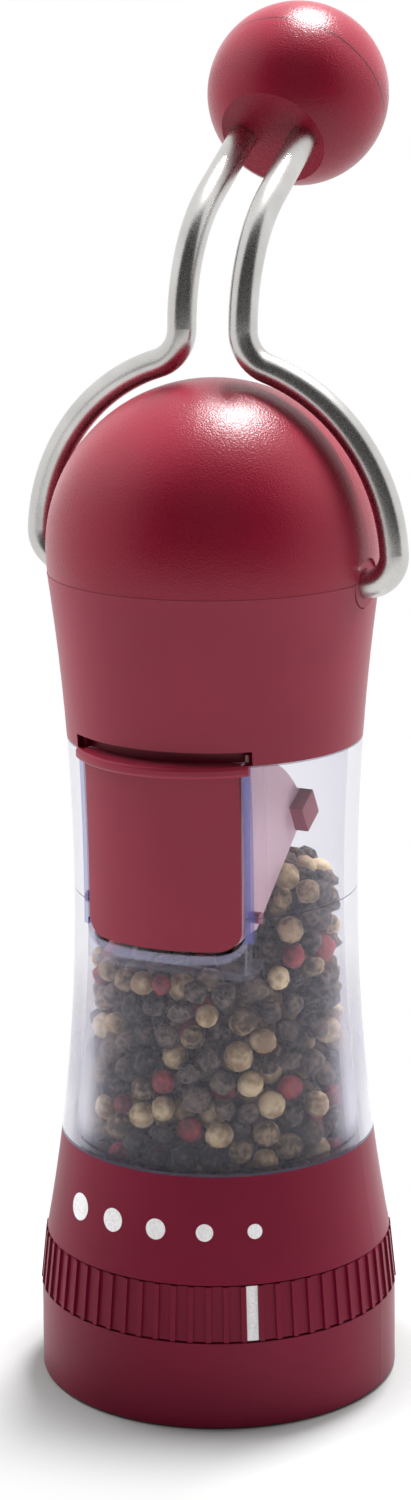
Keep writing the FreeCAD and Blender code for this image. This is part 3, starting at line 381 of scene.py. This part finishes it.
def clear_acrylic(name, everywhere):
    """Acrylic; everywhere is the share of violet that it has away from its edges."""
    finish = Finish(name)
    side, depth, height = abs(finish.axis("X")), finish.axis("Y"), finish.axis("Z")
    # The flanges get painted violet edge light and the rims painted shade; the tool line is the mould's own
    # mark.
    flange = (side > FLANGE_NEAR) * (side < FLANGE_FAR) * (depth < FLANGE_BACK) * (height > FLANGE_FOOT)
    violet = flange + everywhere
    rim = (height > HOPPER_HIGH) * (height < TONGUE_FOOT) + (abs(height - HOPPER_LOW) < TOOL_LINE_WIDTH)
    outside = side * side + depth * depth > OUTER_SKIN ** 2
    away = finish.node("ShaderNodeNewGeometry", output="Backfacing")
    line = (abs(height - TOOL_LINE) < TOOL_LINE_WIDTH / 2) * outside * (1.0 - away)
    # The top of the wall plugs into the collar, so it is painted the collar's deep red and made opaque: a
    # painted reflection of the collar seen in it.
    painted_collar_reflection = height > TONGUE_FOOT
    # Towards grazing angles the wall turns a darker violet grey and less clear: painted shade for the wall
    # seen edge-on.
    facing = finish.node("ShaderNodeLayerWeight", inputs={"Blend": GRAZE_BLEND}, output="Facing")
    graze = facing ** GRAZE_POWER
    edge = finish.node("ShaderNodeMapRange", None,
                       {"Value": facing, "From Min": EDGE_STARTS, "From Max": EDGE_FULL})
    low = finish.node("ShaderNodeMapRange", None,
                      {"Value": height, "From Min": SKIRT_TOP, "From Max": SKIRT_FOOT})
    # The wall flares out low down over the base, so its edges get a painted reflection of the white table, a
    # pale grey veil.
    painted_table_reflection = edge * low
    tint = finish.mixed(graze, CLEAR_TINT, GRAZE_SHADE_TINT)
    tint = finish.mixed(painted_table_reflection, tint, TABLE_REFLECTION_TINT)
    tint = finish.mixed(violet, tint, PAINTED_EDGE_VIOLET)
    tint = finish.mixed(line + rim, tint, LINE_AND_RIM_SHADE_TINT)
    tint = finish.mixed(painted_collar_reflection, tint, RASPBERRY_DEEP)
    haze = finish.noise(HAZE_PER_METRE)
    gloss = finish.plastic(Base_Color=tint, Roughness=haze * HAZE_ROUGHNESS + ACRYLIC_ROUGHNESS,
                           Specular_IOR_Level=ACRYLIC_SHINE)
    through = finish.node("ShaderNodeBsdfTransparent", inputs={"Color": LIGHT_THROUGH})
    share = graze * GRAZED_SHARE + painted_table_reflection * TABLE_REFLECTION_SHARE + violet * PAINTED_EDGE_SHARE
    share = share + (line + rim) * LINE_AND_RIM_SHADE_SHARE + painted_collar_reflection + PLAIN_SHARE
    return finish.surface(finish.node("ShaderNodeMixShader", inputs={0: share, 1: through, 2: gloss}))


hopper_acrylic = clear_acrylic("clear_acrylic", 0.0)
paint(hopper_acrylic, "clear_hopper")

# Sill of the doorway: the trough under the chute's hinge in which its lower edge swings, part
# of the hopper's moulding. Its front edge runs along the wall and its back stands free.
HINGE_BACK = -17.0
HINGE_HEIGHT = 89.7
SILL_INSIDE = 10.4
SILL_WALL = 0.8
SILL_END = 14.8
SILL_BITE = 0.2
SILL_COLUMNS = 24
SILL_ROWS = 12
# Angles from straight below the hinge, in degrees, and the step of the search for the wall.
SILL_REAR = -30.0
SILL_FRONT = 80.0
SILL_SEARCH = 0.5


def sill_point(side, radius, share):
    """A point of the trough: share runs from its free back to the hopper's wall."""
    def at(angle):
        turn = math.radians(angle)
        return HINGE_BACK - radius * math.sin(turn), HINGE_HEIGHT - radius * math.cos(turn)
    front = SILL_REAR
    while front < SILL_FRONT:
        depth, height = at(front)
        if math.hypot(side, depth) > float(flare(height, HOPPER_WALL)) + SILL_BITE:
            break
        front += SILL_SEARCH
    depth, height = at(SILL_REAR + (front - SILL_REAR) * share)
    return Vector((side, depth, height)) * MM


def sill_layer(radius):
    """Lines of points from the back of the trough to its front, from end to end."""
    columns = [SILL_END * (2 * column / SILL_COLUMNS - 1) for column in range(SILL_COLUMNS + 1)]
    shares = [step / SILL_ROWS for step in range(SILL_ROWS + 1)]
    return [[sill_point(side, radius, share) for share in shares] for side in columns]


piece("doorway_sill", "housing", "clear_plastic", hopper_acrylic,
      *slab(sill_layer(SILL_INSIDE), sill_layer(SILL_INSIDE + SILL_WALL)), smooth=True)

# Rim and web of the doorway: the thin edge of the hopper's skin that follows the foot of the door
# round both corners with an even gap, and the skin under it, down to where the door's edge sweeps.
# Both are half a millimetre thick, to let that edge swing by.
DOOR_CORNER = (11.0, 87.9)
DOOR_SWEEP = 10.05
SWEEP_ROUNDS = 12
RIM_RADIUS = 4.25
RIM_HEIGHT = 1.5
RIM_SIDE = 15.1
RIM_PROUD = -0.05
RIM_DEPTH = 0.5
RIM_COLUMNS = 60
RIM_CORNERS = 4
RIM_VIOLET = 0.42
WEB_LAP = 0.3


def sweep_edge(side):
    """Height at which the door's sweep cuts the outside of the hopper's wall."""
    height = DOOR_CORNER[1] - RIM_RADIUS
    for _ in range(SWEEP_ROUNDS):
        out = math.sqrt(float(flare(height)) ** 2 - side ** 2) + HINGE_BACK
        height = HINGE_HEIGHT - math.sqrt(DOOR_SWEEP ** 2 - out ** 2)
    return height


def rim_outline(side):
    """Foot and top of the rim at a distance from the middle of the doorway."""
    past = max(abs(side) - DOOR_CORNER[0], 0.0)
    top = DOOR_CORNER[1] - math.sqrt(RIM_RADIUS ** 2 - past ** 2)
    return top - RIM_HEIGHT, top


def web_outline(side):
    """Foot and top of the web, from the rim down past the edge of the door's sweep."""
    top = rim_outline(side)[0]
    return min(sweep_edge(side), top) - WEB_LAP, top


def skin_strip(name, material, outline):
    """A strip of the hopper's skin between the two heights that outline gives across the doorway."""
    corners = []
    for column in range(RIM_COLUMNS + 1):
        side = RIM_SIDE * (2 * column / RIM_COLUMNS - 1)
        foot, top = outline(side)
        for height, inset in ((foot, 0.0), (top, 0.0), (top, RIM_DEPTH), (foot, RIM_DEPTH)):
            radius = float(flare(height)) + RIM_PROUD - inset
            corners.append(Vector((side, -math.sqrt(radius ** 2 - side ** 2), height)) * MM)
    ends = (0, RIM_CORNERS * RIM_COLUMNS)
    faces = [tuple(range(end, end + RIM_CORNERS)) for end in ends]
    for column in range(RIM_COLUMNS):
        for corner in range(RIM_CORNERS):
            start = RIM_CORNERS * column + corner
            after = RIM_CORNERS * column + (corner + 1) % RIM_CORNERS
            faces.append((start, after, after + RIM_CORNERS, start + RIM_CORNERS))
    piece(name, "housing", "clear_plastic", material, corners, faces)


# The rim is painted violet all through: the painted edge light of the wall's cut edge.
skin_strip("doorway_rim", clear_acrylic("rim_acrylic", RIM_VIOLET), rim_outline)
skin_strip("doorway_web", hopper_acrylic, web_outline)

# Peppercorns: a mix of black, white, pink and green dried berries, poured in through the chute.
# They lie heaped against the right-hand side, under the chute and round the drive shaft.
GRAIN_MEAN = 4.85
GRAIN_SPREAD = 0.4
GRAIN_LEAST = 3.8
GRAIN_MOST = 5.8
GRAIN_SEED = 11
PACKING = 0.60
TRIALS = 60000
TRIAL_REACH = 26.0
SETTLING_STEPS = 160
PRESS_SHARE = 0.45
FAR_APART = 100.0
NEARLY_NOTHING = 1e-9
CLEARANCE = 0.45
SHAFT_RADIUS = 3.0
FUNNEL_HEIGHTS = (37.4, 43.4)
FUNNEL_RADII = (19.2, 25.4)
HEAP_FLOOR = 34.0
HEAP_TOP = 97.0
HEAP_LEAN = (0.899, 0.438)
HEAP_RIDGE = 9.0
HEAP_LEFT_SLOPE = 0.47
HEAP_RIGHT_SLOPE = 0.5
FRAME_SIDE = 17.0
FRAME_BACK = -8.0
CHEEK_FOOT = (-14.0, 86.7)
CHEEK_SLOPE = (0.6298, -0.7767)
CHEEK_SIDE = 14.5
CHEEK_DROP = 8.0
dice = np.random.default_rng(GRAIN_SEED)


def hopper_radius(height):
    """Inner radius of the hopper and, under it, of the funnel and the throat."""
    funnel = np.interp(height, FUNNEL_HEIGHTS, FUNNEL_RADII)
    return np.where(height < FUNNEL_HEIGHTS[1], funnel, flare(height, HOPPER_WALL))


def heap_height(spots):
    """Height of the heap's top, which falls away on both sides of a ridge."""
    across = spots[:, 0] * HEAP_LEAN[0] + spots[:, 1] * HEAP_LEAN[1] - HEAP_RIDGE
    return HEAP_TOP - np.where(across < 0, -across * HEAP_LEFT_SLOPE, across * HEAP_RIGHT_SLOPE)


def keep_inside(spots, radii):
    """Pushes berries out of the walls, the shaft, the sill and the chute, and below the heap's top."""
    spots[:, 2] = np.clip(spots[:, 2], HEAP_FLOOR + radii, heap_height(spots) - radii)
    hinge = spots[:, 1:] - (HINGE_BACK, HINGE_HEIGHT)
    away = np.linalg.norm(hinge, axis=1)
    short = SILL_INSIDE + SILL_WALL + CLEARANCE + radii - away
    near = (np.abs(spots[:, 0]) < FRAME_SIDE + radii) & (short > 0) & (spots[:, 1] < FRAME_BACK)
    spots[near, 1:] += (hinge / away[:, None] * short[:, None])[near]
    beyond = (spots[:, 1:] - CHEEK_FOOT) * CHEEK_SLOPE
    short = radii + CLEARANCE - (beyond[:, 0] + beyond[:, 1])
    level = spots[:, 2] > CHEEK_FOOT[1] - CHEEK_DROP
    near = (np.abs(spots[:, 0]) < CHEEK_SIDE + radii) & (short > 0) & level
    spots[near, 1:] += (short[:, None] * np.array(CHEEK_SLOPE))[near]
    out = np.maximum(np.hypot(spots[:, 0], spots[:, 1]), NEARLY_NOTHING)
    wanted = np.clip(out, SHAFT_RADIUS + CLEARANCE + radii, hopper_radius(spots[:, 2]) - CLEARANCE - radii)
    spots[:, :2] *= (wanted / out)[:, None]


def settled_berries():
    """Centres and radii of berries packed at random into the heap's space."""
    low = np.array((-TRIAL_REACH, -TRIAL_REACH, HEAP_FLOOR))
    high = np.array((TRIAL_REACH, TRIAL_REACH, HEAP_TOP))
    trial = dice.uniform(low, high, (TRIALS, 3))
    kept = trial.copy()
    keep_inside(kept, np.zeros(TRIALS))
    room = trial[np.abs(kept - trial).max(axis=1) < NEARLY_NOTHING]
    volume = np.prod(high - low) * len(room) / TRIALS
    count = int(PACKING * volume / (math.pi / 6 * GRAIN_MEAN ** 3))
    spots = room[:count].copy()
    radii = np.clip(dice.normal(GRAIN_MEAN, GRAIN_SPREAD, count), GRAIN_LEAST, GRAIN_MOST) / 2
    for _ in range(SETTLING_STEPS):
        gap = spots[:, None, :] - spots[None, :, :]
        apart = np.sqrt((gap ** 2).sum(axis=2)) + np.eye(count) * FAR_APART
        press = np.maximum(radii[:, None] + radii[None, :] - apart, 0.0)
        spots += (gap * (press / apart * PRESS_SHARE)[:, :, None]).sum(axis=1)
        keep_inside(spots, radii)
    return spots, radii


BERRY_INPUTS = {"Points": "Geometry", "Wrinkle depth": "Float", "Wrinkles per metre": "Float",
                "Seed": "Int", "Finish": "Material"}
SQUASH_LEAST = (0.93, 0.93, 0.90)
SQUASH_MOST = (1.04, 1.04, 1.02)
NO_TURN = (0.0, 0.0, 0.0)
FULL_TURN = (6.28, 6.28, 6.28)
BERRY_FINENESS = 2
# The value of the skin's noise at which it neither sinks nor rises.
WRINKLE_LEVEL = 0.62
# Share of the wrinkle noise in the colour, which is painted shade in the hollows.
WRINKLE_SHADE_SHARE = 0.6
TONE_SHARE = 0.6
TONES_PER_METRE = 110.0
SKIN_ROUGHNESS = 0.2


def berry_tree():
    """Geometry nodes that set a shrivelled berry on each point of a mesh."""
    tree = bpy.data.node_groups.new("berries", "GeometryNodeTree")
    sockets = {}
    for name, kind in BERRY_INPUTS.items():
        socket = tree.interface.new_socket(name, in_out="INPUT", socket_type=f"NodeSocket{kind}")
        sockets[name] = socket.identifier
    tree.interface.new_socket("Berries", in_out="OUTPUT", socket_type="NodeSocketGeometry")
    web = Web(tree)
    points, depth, wrinkles, seed, finish = (
        web.node("NodeGroupInput", output=name) for name in BERRY_INPUTS)
    ball = web.node("GeometryNodeMeshIcoSphere", None, {"Radius": 0.5, "Subdivisions": BERRY_FINENESS})
    across = web.node("GeometryNodeInputNamedAttribute", {"data_type": "FLOAT"}, {"Name": "across"})
    squash = web.node("FunctionNodeRandomValue", {"data_type": "FLOAT_VECTOR"},
                      {0: SQUASH_LEAST, 1: SQUASH_MOST, "Seed": seed})
    size = web.node("ShaderNodeVectorMath", {"operation": "SCALE"}, {0: squash, "Scale": across})
    turn = web.node("FunctionNodeRandomValue", {"data_type": "FLOAT_VECTOR"},
                    {0: NO_TURN, 1: FULL_TURN, "Seed": seed})
    heaped = web.node("GeometryNodeInstanceOnPoints", None,
                      {"Points": points, "Instance": ball, "Rotation": turn, "Scale": size})
    whole = web.node("GeometryNodeRealizeInstances", None, {"Geometry": heaped})
    skin = web.node("ShaderNodeTexNoise", None, {"Scale": wrinkles, "Detail": 1.0})
    outward = web.node("GeometryNodeInputNormal")
    push = web.node("ShaderNodeVectorMath", {"operation": "SCALE"},
                    {0: outward, "Scale": (skin - WRINKLE_LEVEL) * depth})
    shrivelled = web.node("GeometryNodeSetPosition", None, {"Geometry": whole, "Offset": push})
    smooth = web.node("GeometryNodeSetShadeSmooth", None, {"Geometry": shrivelled})
    coated = web.node("GeometryNodeSetMaterial", None, {"Geometry": smooth, "Material": finish})
    web.node("NodeGroupOutput", None, {0: coated})
    return tree, sockets


def berry_finish(name, dark, pale, wrinkles_per_metre, depth, dullness):
    """Dried skin, with painted shade that makes it dark in the hollows of its wrinkles, and a tone that
    changes from berry to berry.
    """
    finish = Finish(name)
    skin = finish.noise(wrinkles_per_metre, detail=4.0)
    tone = finish.noise(TONES_PER_METRE, detail=1.0)
    # The wrinkle noise that raises the bump also sets the colour: painted shade in its hollows, pale on its
    # ridges.
    colour = finish.ramp(skin * WRINKLE_SHADE_SHARE + tone * TONE_SHARE, (0.50, dark), (0.70, pale))
    return finish.surface(finish.plastic(
        Base_Color=colour, Roughness=skin * SKIN_ROUGHNESS + dullness,
        Normal=finish.bump(skin, strength=0.9, distance=depth)))


# Each kind's name, the draws that give it, the depth and number per metre of its wrinkles, its finish.
BERRIES = (
    ("black_berries", 0.00, 0.54, 0.0026, 560.0,
     berry_finish("black_berry", dark=(0.004, 0.003, 0.003), pale=(0.200, 0.140, 0.105),
                  wrinkles_per_metre=900.0, depth=0.0016, dullness=0.5)),
    ("white_berries", 0.54, 0.74, 0.0005, 300.0,
     berry_finish("white_berry", dark=(0.27, 0.165, 0.078), pale=(0.70, 0.54, 0.32),
                  wrinkles_per_metre=620.0, depth=0.0004, dullness=0.45)),
    ("pink_berries", 0.74, 0.82, 0.0014, 420.0,
     berry_finish("pink_berry", dark=(0.120, 0.008, 0.012), pale=(0.38, 0.050, 0.052),
                  wrinkles_per_metre=700.0, depth=0.0009, dullness=0.45)),
    ("green_berries", 0.82, 1.00, 0.0014, 480.0,
     berry_finish("green_berry", dark=(0.055, 0.033, 0.016), pale=(0.42, 0.285, 0.160),
                  wrinkles_per_metre=800.0, depth=0.0010, dullness=0.55)),
)
tree, sockets = berry_tree()
spots, radii = settled_berries()
draw = dice.uniform(0.0, 1.0, len(spots))
for seed, (name, least, most, depth, wrinkles, material) in enumerate(BERRIES, start=1):
    chosen = (draw >= least) & (draw < most)
    mesh = bpy.data.meshes.new(f"{name}_points")
    mesh.from_pydata([Vector(spot) * MM for spot in spots[chosen]], [], [])
    mesh.attributes.new("across", "FLOAT", "POINT").data.foreach_set("value", radii[chosen] * 2 * MM)
    heap = placed(name, mesh)
    grow = heap.modifiers.new("berries", "NODES")
    grow.node_group = tree
    grow[sockets["Wrinkle depth"]] = depth
    grow[sockets["Wrinkles per metre"]] = wrinkles
    grow[sockets["Seed"]] = seed
    grow[sockets["Finish"]] = material
    shaped = bpy.data.meshes.new_from_object(heap.evaluated_get(bpy.context.evaluated_depsgraph_get()))
    heap.modifiers.remove(grow)
    heap.data = shaped
    shaped.name = name
    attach(heap, "housing")

# Refill chute: the red door with its two cheeks, which tilts out on pins to pour pepper in.
# It is the same ABS as the casing, from a tool with a finer grain. The cheeks are painted paler than
# the door: a painted veil, for how they look behind the clear wall.
CHEEK_INNER = 12.0 * MM
CHEEK_OUTER = 14.65 * MM
CHEEK_FRONT = -20.0 * MM
CHEEK_VEIL_TINT = (0.74, 0.53, 0.60)
CHEEK_VEIL_SHARE = 0.8


def painted_cheek_veil(finish):
    """The share of painted pale veil on the cheeks, for the clear wall in front of them, and none on the door
    or the pegs.
    """
    side = abs(finish.axis("X"))
    behind = finish.axis("Y") > CHEEK_FRONT
    return (side > CHEEK_INNER) * (side < CHEEK_OUTER) * behind * CHEEK_VEIL_SHARE


chute_red = red_moulding("chute_red", grains_per_metre=7000.0, grain_depth=0.00001, dullness=0.34, shine=0.40,
                         part=painted_cheek_veil, tint=CHEEK_VEIL_TINT)
paint(chute_red, "refill_door")

# Collar, dome and pivot bushes: the head of the mill. The dome has an open grain on which a
# lamp breaks up into sparkle, while the collar is satin, as the base is.
COLLAR_SHINE = 0.38
OPEN_GRAIN = {"grains_per_metre": 3300.0, "grain_depth": 0.00012, "dullness": 0.19, "shine": 0.33,
              "deep": (0.195, 0.0032, 0.018), "light": (0.240, 0.0046, 0.025)}
paint(red_moulding("grained_red", **OPEN_GRAIN), "dome_cover")
collar_red = red_moulding("collar_red", **SATIN, shine=COLLAR_SHINE)
paint(collar_red, "upper_collar", "left_pivot_bush", "right_pivot_bush")

# Handle rods: two lengths of 5 mm stainless wire, drawn, bent cold over the dome and brushed.
# Their lower ends turn in the pivot bushes, and their upper ends are held in the ball.
ROD_DARK = (0.56, 0.545, 0.53)
ROD_PALE = (0.70, 0.685, 0.67)
ROD_ROUGHNESS = 0.22
STREAK_ROUGHNESS = 0.12
STREAKS_PER_METRE = 2600.0
ROD_CLOUDS_PER_METRE = 160.0


def brushed_rod():
    """Stainless steel with fine scratches and a faint cloud in its colour."""
    finish = Finish("brushed_rod")
    streaks = finish.noise(STREAKS_PER_METRE, detail=3.0)
    cloud = finish.noise(ROD_CLOUDS_PER_METRE)
    colour = finish.ramp(cloud, (0.2, ROD_DARK), (0.8, ROD_PALE))
    return finish.surface(finish.plastic(
        Base_Color=colour, Metallic=1.0, Roughness=streaks * STREAK_ROUGHNESS + ROD_ROUGHNESS,
        Normal=finish.bump(streaks, strength=0.2, distance=0.00001)))


paint(brushed_rod(), "left_handle_wire", "right_handle_wire")

# Ball of the handle: two grained shells that snap together across the ends of the rods, so
# that a fine dark joint runs round the ball at its middle.
BALL_CENTRE = (0.0, 35.43 * MM, 224.83 * MM)
NECK_TURN = math.radians(56.4)
JOINT_WIDTH = 0.3 * MM
JOINT_DARK = (0.030, 0.002, 0.004)


def ball_joint(finish):
    """1 on the joint between the shells."""
    along = (0.0, math.sin(NECK_TURN), math.cos(NECK_TURN))
    middle = sum(a * b for a, b in zip(along, BALL_CENTRE))
    out = finish.node("ShaderNodeVectorMath", {"operation": "DOT_PRODUCT"},
                      {0: finish.place, 1: along}, "Value")
    return abs(out - middle) < JOINT_WIDTH / 2


ball_red = red_moulding("ball_red", **OPEN_GRAIN, part=ball_joint, tint=JOINT_DARK)
paint(ball_red, "ball_lower_half", "ball_upper_half")

# Studio: a white table that is lit from above and behind, with white cards on both sides and
# a dark curtain behind the camera, which shows only as the dark that shiny surfaces mirror.
# The camera stands 26 degrees right of the chute and looks down 13.6 degrees, with 81 mm.
CAMERA_AZIMUTH = math.radians(26.0)
CAMERA_PITCH = math.radians(13.64)
CAMERA_DISTANCE = 0.59125
CAMERA_TARGET = Vector((-0.00152, -0.00074, 0.1137))
CAMERA_LENS = 81.23
CAMERA_ROLL = math.radians(-0.44)
WHITE = (1.0, 1.0, 1.0, 1.0)
SKY_LIGHT = 0.16
FLOOR_REACH = 4.0
# The paper is painted darker at the mill's foot, a painted contact shadow, and turns white between these
# distances from its axis.
PAINTED_SHADOW_FADES = 0.028
PAPER_WHITE = 0.072
PAPER_PAINTED_SHADOW = (0.34, 0.34, 0.34)
PAPER_FAR = (0.86, 0.86, 0.86)
CURTAIN_AWAY = 0.95
CURTAIN_HALF = 1.5
CURTAIN_HEIGHT = 3.0
CURTAIN_DARK = (0.10, 0.10, 0.10, 1.0)


def bearing(azimuth, elevation):
    """The direction from the mill towards a lamp or the camera."""
    flat = math.cos(elevation)
    return Vector((math.sin(azimuth) * flat, -math.cos(azimuth) * flat, math.sin(elevation)))


def lamp(name, azimuth, elevation, distance, size, power, mirrored=False):
    """A round lamp that faces the mill; only a mirrored one shows in reflections."""
    data = bpy.data.lights.new(name, "AREA")
    data.shape = "DISK"
    data.size = size
    data.energy = power
    item = placed(name, data)
    aim = bearing(math.radians(azimuth), math.radians(elevation))
    item.location = CAMERA_TARGET + aim * distance
    item.rotation_mode = "QUATERNION"
    item.rotation_quaternion = aim.to_track_quat("Z", "Y")
    item.visible_glossy = mirrored


def background_rays(web):
    """1 on rays that show the background: straight, in a reflection or through something clear."""
    seen, reflected, passed = (
        web.node("ShaderNodeLightPath", output=name)
        for name in ("Is Camera Ray", "Is Glossy Ray", "Is Transmission Ray"))
    return seen + reflected + passed


def flat_sheet(name, corners, material):
    """A flat sheet between four corners."""
    mesh = bpy.data.meshes.new(name)
    mesh.from_pydata(corners, [], [(0, 1, 2, 3)])
    mesh.materials.append(material)
    return placed(name, mesh)


lamp("top_lamp", azimuth=181.0, elevation=67.0, distance=0.85, size=0.20, power=14.0, mirrored=True)
lamp("right_card", azimuth=142.0, elevation=42.0, distance=0.5, size=0.4, power=2.7)
lamp("left_card", azimuth=-90.0, elevation=42.0, distance=0.5, size=0.4, power=2.7)
lamp("front_fill", azimuth=26.0, elevation=50.0, distance=0.85, size=0.6, power=0.9)

paper = Finish("white_paper")
far = paper.node("ShaderNodeVectorMath", {"operation": "LENGTH"}, {0: paper.place}, "Value")
# Painted shadow: near the foot the paper takes the darker colour and no glow.
out_of_painted_shadow = paper.node("ShaderNodeMapRange", {"interpolation_type": "SMOOTHSTEP"},
                    {"Value": far, "From Min": PAINTED_SHADOW_FADES, "From Max": PAPER_WHITE})
lit = paper.node("ShaderNodeBsdfDiffuse", None, {"Color": paper.mixed(out_of_painted_shadow, PAPER_PAINTED_SHADOW, PAPER_FAR)})
glow = paper.node("ShaderNodeEmission", None, {"Color": WHITE, "Strength": 1.0})
covered = paper.node("ShaderNodeMixShader", None, {0: out_of_painted_shadow * background_rays(paper), 1: lit, 2: glow})
corners = [Vector((x, y, 0.0)) * FLOOR_REACH for x, y in ((-1, -1), (1, -1), (1, 1), (-1, 1))]
table = flat_sheet("table", corners, paper.surface(covered))

cloth = Finish("curtain_cloth")
dark = cloth.node("ShaderNodeBsdfDiffuse", None, {"Color": CURTAIN_DARK})
reach = Vector((math.cos(CAMERA_AZIMUTH), math.sin(CAMERA_AZIMUTH), 0.0)) * CURTAIN_HALF
foot = bearing(CAMERA_AZIMUTH, 0.0) * CURTAIN_AWAY
rise = Vector((0.0, 0.0, CURTAIN_HEIGHT))
corners = [foot - reach, foot + reach, foot + reach + rise, foot - reach + rise]
curtain = flat_sheet("curtain", corners, cloth.surface(dark))
curtain.visible_camera = False
curtain.visible_diffuse = False
curtain.visible_shadow = False

world = bpy.data.worlds.new("studio")
bpy.context.scene.world = world
world.use_nodes = True
world.node_tree.nodes.clear()
sky = Web(world.node_tree)
brightness = background_rays(sky) * (1.0 - SKY_LIGHT) + SKY_LIGHT
white = sky.node("ShaderNodeBackground", None, {"Color": WHITE, "Strength": brightness})
sky.node("ShaderNodeOutputWorld", None, {"Surface": white})

camera_data = bpy.data.cameras.new("camera")
camera_data.lens = CAMERA_LENS
camera = placed("camera", camera_data)
sight = bearing(CAMERA_AZIMUTH, CAMERA_PITCH)
camera.location = CAMERA_TARGET + sight * CAMERA_DISTANCE
camera.rotation_mode = "QUATERNION"
camera.rotation_quaternion = sight.to_track_quat("Z", "Y") @ Quaternion((0, 0, 1), CAMERA_ROLL)
bpy.context.scene.camera = camera
bpy.context.scene.view_settings.view_transform = "Standard"
